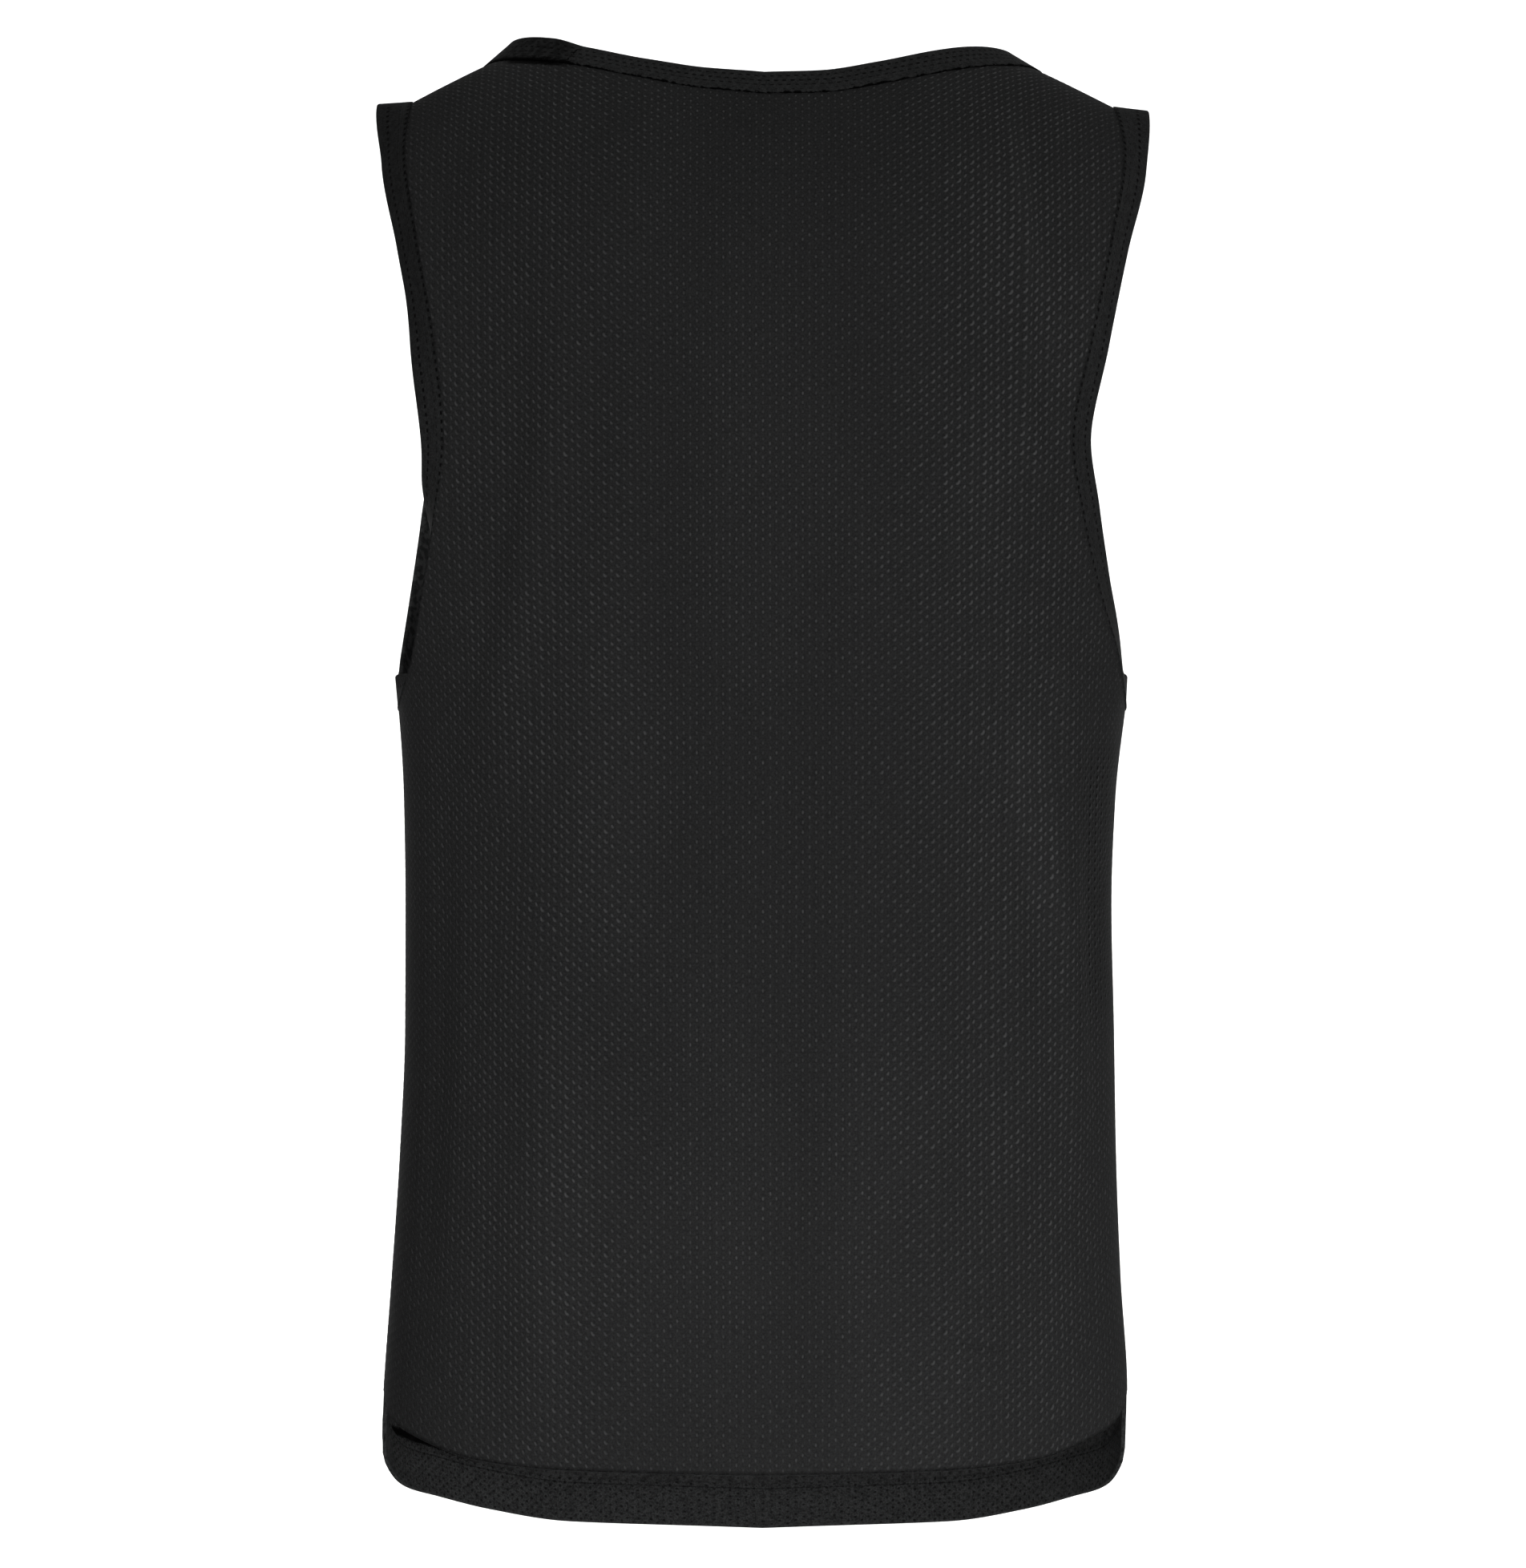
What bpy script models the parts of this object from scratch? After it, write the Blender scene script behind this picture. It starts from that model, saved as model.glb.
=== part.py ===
"""Training bib: a sleeveless over-vest of black knitted mesh, hollow, in the pose of a worn one.

Metres, +Z up. The back of the garment faces -Y and the wearer's left is at -X. The origin lies
midway between the shoulders, where the wearer's shoulders hold the bib up.

Both panels are one surface: a depth in front of or behind the plane of the seams, worked out for
each place across the body and each height. The side seams and the shoulder seams lie in that
plane (y = 0), and the bands are built out from the panels' own edges.
"""

import math
from collections import namedtuple

import bmesh
import bpy
from mathutils import Vector

COLLECTION = "training_bib"
HANDS = {-1: "left", 1: "right"}   # the wearer's sides, by the sign of x

# ---------------------------------------------------------------- cloth
PANEL_WALL = 0.0012        # one layer of knitted mesh
BAND_WALL = 0.0024         # a band is a folded strip, two layers and the seam inside
SEAM_GAP = 0.0003          # between pieces that are sewn together
HEM_HEIGHT = 0.022         # depth of the turned-up hem
HEM_STEP = 0.0008          # height over which the turned-up layer's cut edge ends
NECK_BAND_WIDTH = 0.014
ARMHOLE_BAND_WIDTH = 0.0160
CLOTH_COLOUR = (0.0165, 0.0170, 0.0172)
BAND_COLOUR = (0.0130, 0.0134, 0.0136)
CLOTH_ROUGHNESS = 0.72

# ---------------------------------------------------------------- form
UNDERARM = -0.325          # height of the bottom of both armholes
NECK_HALF_WIDTH = 0.1300   # from the centre to the neck end of a shoulder seam
NECK_COLUMN = 0.70         # share of a half panel's columns that end at the neck
SECTION_POWER = 2.3        # 2 is an ellipse; more is squarer, as loose cloth hangs

# The line over each shoulder: level at the neck, then falling at a steady slope from the bend,
# which is a distance from the centre.
Ridge = namedtuple("Ridge", "top slope bend softness")
RIDGE_BLEND = 0.100        # width over which the left shoulder's line turns into the right one's
RIDGES = {"left": Ridge(0.0040, 0.56, 0.112, 0.030), "right": Ridge(0.0033, 0.53, 0.105, 0.030)}
ROUND_OVER = {"back": 0.120, "front": 0.130}   # height over which a panel rounds to the ridge

# Level sections of the body, from below the hem to above the shoulder: the half widths, and the
# depth of the back and of the front. Above the underarm the widths take in the open armholes.
Section = namedtuple("Section", "height left right back front")
SECTIONS = (
    Section(-0.745, 0.1835, 0.1765, 0.0985, 0.1120),
    Section(-0.690, 0.1864, 0.1772, 0.0995, 0.1130),
    Section(-0.655, 0.1845, 0.1771, 0.1000, 0.1135),
    Section(-0.600, 0.1805, 0.1738, 0.1010, 0.1145),
    Section(-0.540, 0.1765, 0.1716, 0.1030, 0.1160),
    Section(-0.480, 0.1740, 0.1706, 0.1050, 0.1170),
    Section(-0.420, 0.1738, 0.1694, 0.1070, 0.1185),
    Section(-0.370, 0.1745, 0.1712, 0.1090, 0.1200),
    Section(UNDERARM, 0.1772, 0.1762, 0.1100, 0.1215),
    Section(-0.270, 0.1870, 0.1840, 0.1110, 0.1225),
    Section(-0.200, 0.2000, 0.1970, 0.1110, 0.1205),
    Section(-0.120, 0.2100, 0.2080, 0.1080, 0.1050),
    Section(0.010, 0.2180, 0.2160, 0.1000, 0.0850),
)

# The panels' armhole edges, from the underarm (0) up to the shoulder tip (1): distance from the
# centre at the wearer's left and right, on the back and on the front.
ArmholeEdge = namedtuple("ArmholeEdge", "up back_left back_right front_left front_right")
ARMHOLE_EDGES = (
    ArmholeEdge(0.00, 0.1772, 0.1762, 0.1772, 0.1762),
    ArmholeEdge(0.08, 0.1685, 0.1712, 0.1700, 0.1690),
    ArmholeEdge(0.19, 0.1625, 0.1608, 0.1640, 0.1610),
    ArmholeEdge(0.31, 0.1565, 0.1525, 0.1588, 0.1550),
    ArmholeEdge(0.43, 0.1522, 0.1472, 0.1550, 0.1510),
    ArmholeEdge(0.60, 0.1572, 0.1565, 0.1560, 0.1545),
    ArmholeEdge(0.77, 0.1662, 0.1668, 0.1630, 0.1635),
    ArmholeEdge(0.92, 0.1727, 0.1742, 0.1700, 0.1710),
    ArmholeEdge(1.00, 0.1718, 0.1718, 0.1718, 0.1718),
)

# The hem's fold, from the middle of a panel (0) to its side seam (1). The front hangs lower.
Hem = namedtuple("Hem", "across back front")
HEM = (
    Hem(0.00, -0.6876, -0.7373),
    Hem(0.32, -0.6860, -0.7325),
    Hem(0.50, -0.6828, -0.7245),
    Hem(0.65, -0.6760, -0.7160),
    Hem(0.80, -0.6688, -0.7080),
    Hem(0.90, -0.6612, -0.6975),
    Hem(0.95, -0.6575, -0.6895),
    Hem(1.00, -0.6560, -0.6560),
)

# The back neck's edge is shallow: how far it lies below the neck points, at each distance from
# the centre.
BackNeck = namedtuple("BackNeck", "out drop")
BACK_NECK = (
    BackNeck(0.000, 0.0208),
    BackNeck(0.030, 0.0188),
    BackNeck(0.060, 0.0130),
    BackNeck(0.090, 0.0060),
    BackNeck(0.110, 0.0022),
    BackNeck(NECK_HALF_WIDTH, 0.0),
)
FRONT_NECK_DROP = 0.0900   # the front neck is a scoop, this far below the neck points
SCOOP_SIDES = 2.2          # more makes the scoop's sides steeper
SCOOP_FOOT = 0.62          # less makes its foot flatter

# Soft folds: where across the panel (-1 to 1) and at what height each starts and ends, its half
# width in the same share of the panel, and how far it stands out (in, where negative).
Fold = namedtuple("Fold", "side start top end bottom half_width rise")
FOLD_FADE = 0.14           # share of a half panel, beside the seams, over which the folds die out
FOLD_FULLNESS = 0.7        # less keeps a fold at its full rise nearer its two ends
FOLDS = (
    Fold("back", 0.50, -0.050, 0.76, -0.220, 0.090, 0.0042),
    Fold("back", 0.33, -0.070, 0.42, -0.300, 0.110, -0.0030),
    Fold("back", 0.60, -0.290, 0.66, -0.560, 0.100, 0.0040),
    Fold("back", 0.38, -0.330, 0.36, -0.640, 0.110, -0.0032),
    Fold("back", 0.12, -0.260, 0.10, -0.660, 0.100, 0.0030),
    Fold("back", -0.14, -0.090, -0.18, -0.420, 0.110, -0.0026),
    Fold("back", -0.42, -0.110, -0.50, -0.380, 0.110, 0.0034),
    Fold("back", -0.40, -0.400, -0.36, -0.690, 0.120, 0.0036),
    Fold("back", -0.66, -0.340, -0.70, -0.640, 0.090, -0.0030),
    Fold("front", 0.46, -0.080, 0.60, -0.320, 0.100, 0.0036),
    Fold("front", 0.30, -0.300, 0.26, -0.700, 0.120, -0.0036),
    Fold("front", 0.58, -0.360, 0.62, -0.700, 0.100, 0.0042),
    Fold("front", 0.04, -0.260, -0.02, -0.700, 0.110, 0.0034),
    Fold("front", -0.44, -0.090, -0.56, -0.300, 0.100, 0.0036),
    Fold("front", -0.30, -0.280, -0.32, -0.700, 0.110, -0.0034),
    Fold("front", -0.60, -0.340, -0.66, -0.690, 0.100, 0.0040),
)

# How a band leans out from the cloth beside it, in degrees: the turn is measured round the
# opening from the middle of the back (neck) or from the underarm (armholes), by the right hand
# (neck) or by the back (armholes). More stands up; less lies over into the opening.
Lean = namedtuple("Lean", "turn lean")
NECK_LEAN = (
    Lean(0, 0), Lean(30, 4), Lean(50, 9), Lean(81, 5), Lean(110, 2), Lean(180, 0), Lean(240, 4),
    Lean(262, 12), Lean(279, 15), Lean(295, 21), Lean(305, 17), Lean(314, 3), Lean(330, -2),
    Lean(360, 0),
)
ARMHOLE_LEAN = {
    "left": (Lean(0, -8), Lean(20, -46), Lean(50, -55), Lean(72, -22), Lean(95, -12),
             Lean(120, -22), Lean(155, -14), Lean(180, 24), Lean(205, -2), Lean(260, -8),
             Lean(330, 2), Lean(360, -8)),
    "right": (Lean(0, -12), Lean(30, -22), Lean(60, -22), Lean(85, -26), Lean(120, -26),
              Lean(155, -16), Lean(180, 20), Lean(205, -2), Lean(260, -12), Lean(330, -12),
              Lean(360, -12)),
}

# ---------------------------------------------------------------- mesh
HALF_COLUMNS = 20          # from the middle of a panel to its edge
BODY_ROWS = 12             # from the hem to the underarm
YOKE_ROWS = 16             # from the underarm to the shoulder
YOKE_ROW_POWER = 2.7       # over 2 crowds the yoke's rows towards the round of the underarm
BAND_ROWS = 2              # across a band
BAND_SMOOTHING = 0.012     # distance along an opening over which a band's direction is evened out
GRADIENT_STEP = 1e-6       # metres, for the slope of the surface
SAME_PLACE = 1e-7          # metres, for joining the two ends of a ring
SHARP_ANGLE = math.radians(50)   # edges sharper than this are shaded as corners


def read(table, column, at):
    """Read a column of a table at a place between its rows, on a smooth curve through them."""
    places = [row[0] for row in table]
    values = [getattr(row, column) for row in table]
    last = len(places) - 1
    at = min(max(at, places[0]), places[last])
    low = max(index for index in range(last) if places[index] <= at)
    slopes = [(values[k + 1] - values[k]) / (places[k + 1] - places[k]) for k in range(last)]

    def tangent(index):
        if index == 0:
            return slopes[0]
        if index == last:
            return slopes[-1]
        before, after = slopes[index - 1], slopes[index]
        if before * after <= 0:
            return 0.0
        return 2 * before * after / (before + after)

    span = places[low + 1] - places[low]
    share = (at - places[low]) / span
    square, cube = share ** 2, share ** 3
    return ((2 * cube - 3 * square + 1) * values[low]
            + (cube - 2 * square + share) * span * tangent(low)
            + (3 * square - 2 * cube) * values[low + 1]
            + (cube - square) * span * tangent(low + 1))


def mix(start, end, share):
    return start + (end - start) * share


def ease(value):
    """0 to 1 with level ends."""
    value = min(max(value, 0.0), 1.0)
    return value * value * (3 - 2 * value)


# ---------------------------------------------------------------- the surface
def right_share(x):
    """How far a place is ruled by the wearer's right side: 0 or 1, eased across the middle."""
    return ease(0.5 + x / RIDGE_BLEND)


def ridge_line(handed, out):
    ridge = RIDGES[handed]
    past = out - ridge.bend
    return ridge.top - ridge.slope * (math.hypot(past, ridge.softness) + past) / 2


def ridge_height(x):
    """Height of the line over the shoulders, where the back turns into the front."""
    return mix(ridge_line("left", abs(x)), ridge_line("right", abs(x)), right_share(x))


def depth(side, x, z):
    """How far the outer surface lies from the seam plane."""
    half_width = read(SECTIONS, HANDS[-1 if x < 0 else 1], z)
    share = 1 - (min(abs(x) / half_width, 1.0)) ** SECTION_POWER
    below = min(max((ridge_height(x) - z) / ROUND_OVER[side], 0.0), 1.0)
    rounding = math.sqrt(1 - (1 - below) ** 2)
    return read(SECTIONS, side, z) * share ** (1 / SECTION_POWER) * rounding


def outward(side, x, z):
    """Unit normal of the outer surface, pointing away from the hollow."""
    step = GRADIENT_STEP
    across = (depth(side, x + step, z) - depth(side, x - step, z)) / (2 * step)
    up = (depth(side, x, z + step) - depth(side, x, z - step)) / (2 * step)
    facing = -1 if side == "back" else 1
    return Vector((-across, facing, -up)).normalized()


def fold_rise(side, across, z):
    """How far the folds lift the cloth at a place. They die out at the seams."""
    rise = 0.0
    for fold in FOLDS:
        along = (fold.top - z) / (fold.top - fold.bottom)
        if fold.side != side or not 0 < along < 1:
            continue
        middle = mix(fold.start, fold.end, along)
        beside = 1 - abs(across - middle) / fold.half_width
        rise += fold.rise * ease(beside) * math.sin(math.pi * along) ** FOLD_FULLNESS
    return rise * ease((1 - abs(across)) / FOLD_FADE)


def neck_height(side, x):
    """Height of a panel's neck edge."""
    out = abs(x)
    neck_point = mix(ridge_line("left", NECK_HALF_WIDTH), ridge_line("right", NECK_HALF_WIDTH),
                     right_share(x))
    if side == "back":
        return neck_point - read(BACK_NECK, "drop", out)
    share = min(out / NECK_HALF_WIDTH, 1.0)
    return neck_point - FRONT_NECK_DROP * (1 - share ** SCOOP_SIDES) ** SCOOP_FOOT


def top_edge(side, sign, share):
    """(x, z) on a panel's top edge, from the middle (0) to the shoulder tip (1)."""
    if share <= NECK_COLUMN:
        x = sign * NECK_HALF_WIDTH * math.sin(math.pi / 2 * share / NECK_COLUMN)
        return x, neck_height(side, x)
    tip_out = read(ARMHOLE_EDGES, f"{side}_{HANDS[sign]}", 1)
    past_neck = (share - NECK_COLUMN) / (1 - NECK_COLUMN)
    x = sign * mix(NECK_HALF_WIDTH, tip_out, past_neck)
    return x, ridge_height(x)


def level_share(share):
    """Share of a section's half width that is reached at a share of the half panel."""
    return math.sin(math.pi / 2 * share) ** (2 / SECTION_POWER)


# A row of a panel: its zone, and how far up that zone it lies. In the hem zone that is a height
# above the fold, in metres; in the body and the yoke it is a share.
Row = namedtuple("Row", "zone up")


def panel_rows():
    rows = [Row("hem", 0.0), Row("hem", HEM_HEIGHT / 2), Row("hem", HEM_HEIGHT)]
    rows += [Row("body", index / BODY_ROWS) for index in range(BODY_ROWS)]
    rows += [Row("yoke", math.sin(math.pi / 2 * index / YOKE_ROWS) ** YOKE_ROW_POWER)
             for index in range(YOKE_ROWS + 1)]
    return rows


def panel_place(side, across, row):
    """(x, z) of a place on a panel, for a share across from -1 to 1."""
    share = abs(across)
    sign = -1 if across < 0 else 1
    fold_line = read(HEM, side, share)
    if row.zone == "hem":
        z = fold_line + row.up
    else:
        z = mix(fold_line + HEM_HEIGHT + HEM_STEP, UNDERARM, row.up)
    if row.zone != "yoke":
        return sign * read(SECTIONS, HANDS[sign], z) * level_share(share), z
    edges = f"{side}_{HANDS[sign]}"
    top_x, top_z = top_edge(side, sign, share)
    top_share = abs(top_x) / read(ARMHOLE_EDGES, edges, 1)
    out = mix(level_share(share), top_share, row.up) * read(ARMHOLE_EDGES, edges, row.up)
    return sign * out, mix(UNDERARM, top_z, row.up)


def panel_point(side, across, row):
    """A point of a panel's outer surface, and the normal there."""
    x, z = panel_place(side, across, row)
    facing = -1 if side == "back" else 1
    point = Vector((x, facing * max(depth(side, x, z), SEAM_GAP / 2), z))
    normal = outward(side, x, z)
    return point + normal * fold_rise(side, across, z), normal


def across_share(column):
    return (column - HALF_COLUMNS) / HALF_COLUMNS


# ---------------------------------------------------------------- walls
def make_material(name, colour, roughness):
    material = bpy.data.materials.new(name)
    material.use_nodes = True
    shader = material.node_tree.nodes["Principled BSDF"]
    shader.inputs["Base Color"].default_value = (*colour, 1.0)
    shader.inputs["Roughness"].default_value = roughness
    shader.inputs["Metallic"].default_value = 0.0
    return material


def rim(mesh):
    return [edge for edge in mesh.edges if edge.is_boundary]


def loops_of(edges):
    """Sort boundary edges into closed loops."""
    left = set(edges)
    loops = []
    while left:
        loop = [left.pop()]
        waiting = list(loop[0].verts)
        while waiting:
            vertex = waiting.pop()
            for edge in vertex.link_edges:
                if edge in left:
                    left.remove(edge)
                    loop.append(edge)
                    waiting += edge.verts
        loops.append(loop)
    return loops


def make_wall(name, columns, rows, place, colour, ring=False):
    """A closed wall from a grid. place(column, row) gives its outer and its inner point."""
    mesh = bmesh.new()
    bmesh.ops.create_grid(mesh, x_segments=columns, y_segments=rows, size=1.0)
    spots = {}
    for vertex in mesh.verts:
        column = round((vertex.co.x + 1) / 2 * columns)
        row = round((vertex.co.y + 1) / 2 * rows)
        spots[vertex] = place(column % columns if ring else column, row)
    outer_faces = list(mesh.faces)
    copy = bmesh.ops.duplicate(mesh, geom=list(mesh.verts) + list(mesh.edges) + outer_faces)
    inner_of = copy["vert_map"]
    for vertex, (outer, inner) in spots.items():
        vertex.co = outer
        inner_of[vertex].co = inner
    inner_faces = [face for face in copy["geom"] if isinstance(face, bmesh.types.BMFace)]
    bmesh.ops.reverse_faces(mesh, faces=inner_faces)
    if ring:
        bmesh.ops.remove_doubles(mesh, verts=mesh.verts, dist=SAME_PLACE)
    loops = loops_of(rim(mesh))
    while loops:
        loop = loops.pop()
        start = loop[0].verts[0].co
        other = min(loops, key=lambda each: min((v.co - start).length for e in each for v in e.verts))
        loops.remove(other)
        bmesh.ops.bridge_loops(mesh, edges=loop + other)
    bmesh.ops.recalc_face_normals(mesh, faces=mesh.faces)
    data = bpy.data.meshes.new(name)
    mesh.to_mesh(data)
    mesh.free()
    data.shade_smooth()
    data.set_sharp_from_angle(angle=SHARP_ANGLE)
    data.materials.append(make_material(name, colour, CLOTH_ROUGHNESS))
    wall = bpy.data.objects.new(name, data)
    bpy.data.collections[COLLECTION].objects.link(wall)
    return wall


def make_panel(side):
    """A panel, hem to shoulder, with its hem turned up inside."""
    rows = panel_rows()

    def place(column, row):
        point, normal = panel_point(side, across_share(column), rows[row])
        layers = 2 if rows[row].zone == "hem" else 1
        return point, point - normal * PANEL_WALL * layers

    make_wall(f"{side}_panel", 2 * HALF_COLUMNS, len(rows) - 1, place, CLOTH_COLOUR)


# ---------------------------------------------------------------- bands
def shared_point(across, row):
    """The point at which both panels meet in a seam, and the normal there."""
    back, back_normal = panel_point("back", across, row)
    front, front_normal = panel_point("front", across, row)
    return (back + front) / 2, (back_normal + front_normal).normalized()


def neck_ring():
    """Points and normals round the neck, from the middle of the back by the right hand."""
    top = panel_rows()[-1]
    neck_columns = round(NECK_COLUMN * HALF_COLUMNS)
    corner = neck_columns / HALF_COLUMNS
    shares = [index / HALF_COLUMNS for index in range(neck_columns)]
    ring = [panel_point("back", share, top) for share in shares]
    ring.append(shared_point(corner, top))
    ring += [panel_point("front", share, top) for share in reversed(shares)]
    ring += [panel_point("front", -share, top) for share in shares[1:]]
    ring.append(shared_point(-corner, top))
    ring += [panel_point("back", -share, top) for share in reversed(shares[1:])]
    return ring


def armhole_ring(sign):
    """Points and normals round an armhole, from the underarm up the back."""
    yoke = [row for row in panel_rows() if row.zone == "yoke"]
    ring = [shared_point(sign, yoke[0])]
    ring += [panel_point("back", sign, row) for row in yoke[1:-1]]
    ring.append(shared_point(sign, yoke[-1]))
    ring += [panel_point("front", sign, row) for row in reversed(yoke[1:-1])]
    return ring


def even_out(vectors, run, girth):
    """Average each vector with those near it along a ring, so that a band turns no corner."""
    result = []
    for here in run:
        total = Vector()
        for vector, there in zip(vectors, run):
            away = abs(there - here)
            away = min(away, 1 - away) * girth
            total += vector * math.exp(-(away / BAND_SMOOTHING) ** 2)
        result.append(total.normalized())
    return result


def make_band(name, ring, into_opening, lean_table, width):
    """A folded strip sewn round an opening, leaning on from the cloth beside it."""
    count = len(ring)
    points = [point for point, _ in ring]
    lengths = [(points[(k + 1) % count] - points[k]).length for k in range(count)]
    girth = sum(lengths)
    run = [sum(lengths[:index]) / girth for index in range(count)]
    inwards = []
    for index, (_, normal) in enumerate(ring):
        along = points[(index + 1) % count] - points[index - 1]
        inwards.append((along.cross(normal) * into_opening).normalized())
    inwards = even_out(inwards, run, girth)
    normals = even_out([normal for _, normal in ring], run, girth)

    def place(column, row):
        own_normal = ring[column][1]
        inward = inwards[column]
        normal = (normals[column] - inward * normals[column].dot(inward)).normalized()
        lean = math.radians(read(lean_table, "lean", 360 * run[column]))
        out = inward * math.cos(lean) + normal * math.sin(lean)
        face = normal * math.cos(lean) - inward * math.sin(lean) if row else own_normal
        spot = points[column] - own_normal * PANEL_WALL / 2
        spot += inward * SEAM_GAP + out * width * row / BAND_ROWS
        return spot + face * BAND_WALL / 2, spot - face * BAND_WALL / 2

    make_wall(name, count, BAND_ROWS, place, BAND_COLOUR, ring=True)


def build():
    for thing in list(bpy.data.objects):
        bpy.data.objects.remove(thing, do_unlink=True)
    collection = bpy.data.collections.new(COLLECTION)
    bpy.context.scene.collection.children.link(collection)
    make_panel("back")
    make_panel("front")
    make_band("neck_band", neck_ring(), -1, NECK_LEAN, NECK_BAND_WIDTH)
    make_band("armhole_band_left", armhole_ring(-1), -1, ARMHOLE_LEAN["left"],
              ARMHOLE_BAND_WIDTH)
    make_band("armhole_band_right", armhole_ring(1), 1, ARMHOLE_LEAN["right"],
              ARMHOLE_BAND_WIDTH)


build()
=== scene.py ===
"""Looks of the training bib: its knitted mesh, folded bands, turned-up hems and stitching.

Each piece is built on the surface of the solid it stands for, so the named sizes and tables of
the form are the part's own. Metres, +Z up. The back faces -Y and the wearer's left is at -X.

A cloth place is (u, v) on the flat cloth: u runs along the courses, from the middle of a panel,
and v runs up the wales, from the fold of the hem.
"""

import math
from collections import namedtuple

import bmesh
import bpy
import numpy as np
from bpy.props import FloatProperty, FloatVectorProperty, PointerProperty
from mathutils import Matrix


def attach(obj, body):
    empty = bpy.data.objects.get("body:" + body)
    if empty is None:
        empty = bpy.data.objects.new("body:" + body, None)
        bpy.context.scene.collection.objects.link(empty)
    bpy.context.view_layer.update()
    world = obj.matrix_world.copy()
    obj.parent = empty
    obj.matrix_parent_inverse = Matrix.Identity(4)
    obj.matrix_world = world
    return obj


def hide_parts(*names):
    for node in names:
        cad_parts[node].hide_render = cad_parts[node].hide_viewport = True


bl_info = {
    "name": "Training Bib",
    "version": (1, 0, 0),
    "blender": (4, 5, 0),
    "location": "3D View > Sidebar > Bib",
    "description": "Builds a worn mesh training bib with its bands, hems and stitching",
    "category": "Add Mesh",
}

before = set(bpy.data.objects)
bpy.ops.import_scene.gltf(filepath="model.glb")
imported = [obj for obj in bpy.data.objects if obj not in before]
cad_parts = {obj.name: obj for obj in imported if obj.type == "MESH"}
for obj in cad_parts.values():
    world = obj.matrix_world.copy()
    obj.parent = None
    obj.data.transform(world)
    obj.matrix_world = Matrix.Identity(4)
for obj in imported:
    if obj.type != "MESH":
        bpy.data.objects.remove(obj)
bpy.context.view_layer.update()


def rows(columns, *values):
    """A table: a row for each tuple, with its columns named."""
    row = namedtuple("Row", columns)
    return [row(*each) for each in values]


# ---------------------------------------------------------------- the part's own form
HANDS = {-1: "left", 1: "right"}   # the wearer's sides, by the sign of x
FACING = {"back": -1.0, "front": 1.0}
SEAM_LAP = 0.0002          # the panels run this far past their seams
BAND_LAP = 0.0014          # a band laps over the panels' edge
SEAM_END_LAP = (0.0052, 0.0045, 0.011)   # how much more by a shoulder seam, its y and its reach
HEM_HEIGHT = 0.022         # depth of the turned-up hem
UNDERARM = -0.325          # height of the bottom of both armholes
NECK_HALF_WIDTH = 0.1300   # from the centre to the neck end of a shoulder seam
NECK_COLUMN = 0.70         # share of a half panel that ends at the neck
SECTION_POWER = 2.3        # 2 is an ellipse; more is squarer
RIDGE_BLEND = 0.100
Ridge = namedtuple("Ridge", "top slope bend softness")
RIDGES = {"left": Ridge(0.0040, 0.56, 0.112, 0.030), "right": Ridge(0.0033, 0.53, 0.105, 0.030)}
ROUND_OVER = {"back": 0.120, "front": 0.130}

SECTIONS = rows(
    "height left right back front",
    (-0.745, 0.1835, 0.1765, 0.0985, 0.1120),
    (-0.690, 0.1864, 0.1772, 0.0995, 0.1130),
    (-0.655, 0.1845, 0.1771, 0.1000, 0.1135),
    (-0.600, 0.1805, 0.1738, 0.1010, 0.1145),
    (-0.540, 0.1765, 0.1716, 0.1030, 0.1160),
    (-0.480, 0.1740, 0.1706, 0.1050, 0.1170),
    (-0.420, 0.1738, 0.1694, 0.1070, 0.1185),
    (-0.370, 0.1745, 0.1712, 0.1090, 0.1200),
    (UNDERARM, 0.1772, 0.1762, 0.1100, 0.1215),
    (-0.270, 0.1870, 0.1840, 0.1110, 0.1225),
    (-0.200, 0.2000, 0.1970, 0.1110, 0.1205),
    (-0.120, 0.2100, 0.2080, 0.1080, 0.1050),
    (0.010, 0.2180, 0.2160, 0.1000, 0.0850),
)

ARMHOLE_EDGES = rows(
    "up back_left back_right front_left front_right",
    (0.00, 0.1772, 0.1762, 0.1772, 0.1762),
    (0.08, 0.1685, 0.1712, 0.1700, 0.1690),
    (0.19, 0.1625, 0.1608, 0.1640, 0.1610),
    (0.31, 0.1565, 0.1525, 0.1588, 0.1550),
    (0.43, 0.1522, 0.1472, 0.1550, 0.1510),
    (0.60, 0.1572, 0.1565, 0.1560, 0.1545),
    (0.77, 0.1662, 0.1668, 0.1630, 0.1635),
    (0.92, 0.1727, 0.1742, 0.1700, 0.1710),
    (1.00, 0.1718, 0.1718, 0.1718, 0.1718),
)

HEM = rows(
    "across back front",
    (0.00, -0.6876, -0.7373),
    (0.32, -0.6860, -0.7325),
    (0.50, -0.6828, -0.7245),
    (0.65, -0.6760, -0.7160),
    (0.80, -0.6688, -0.7080),
    (0.90, -0.6612, -0.6975),
    (0.95, -0.6575, -0.6895),
    (1.00, -0.6560, -0.6560),
)

BACK_NECK = rows(
    "out drop",
    (0.000, 0.0208),
    (0.030, 0.0188),
    (0.060, 0.0130),
    (0.090, 0.0060),
    (0.110, 0.0022),
    (NECK_HALF_WIDTH, 0.0),
)
FRONT_NECK_DROP = 0.0900
SCOOP_SIDES = 2.2
SCOOP_FOOT = 0.62

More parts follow.
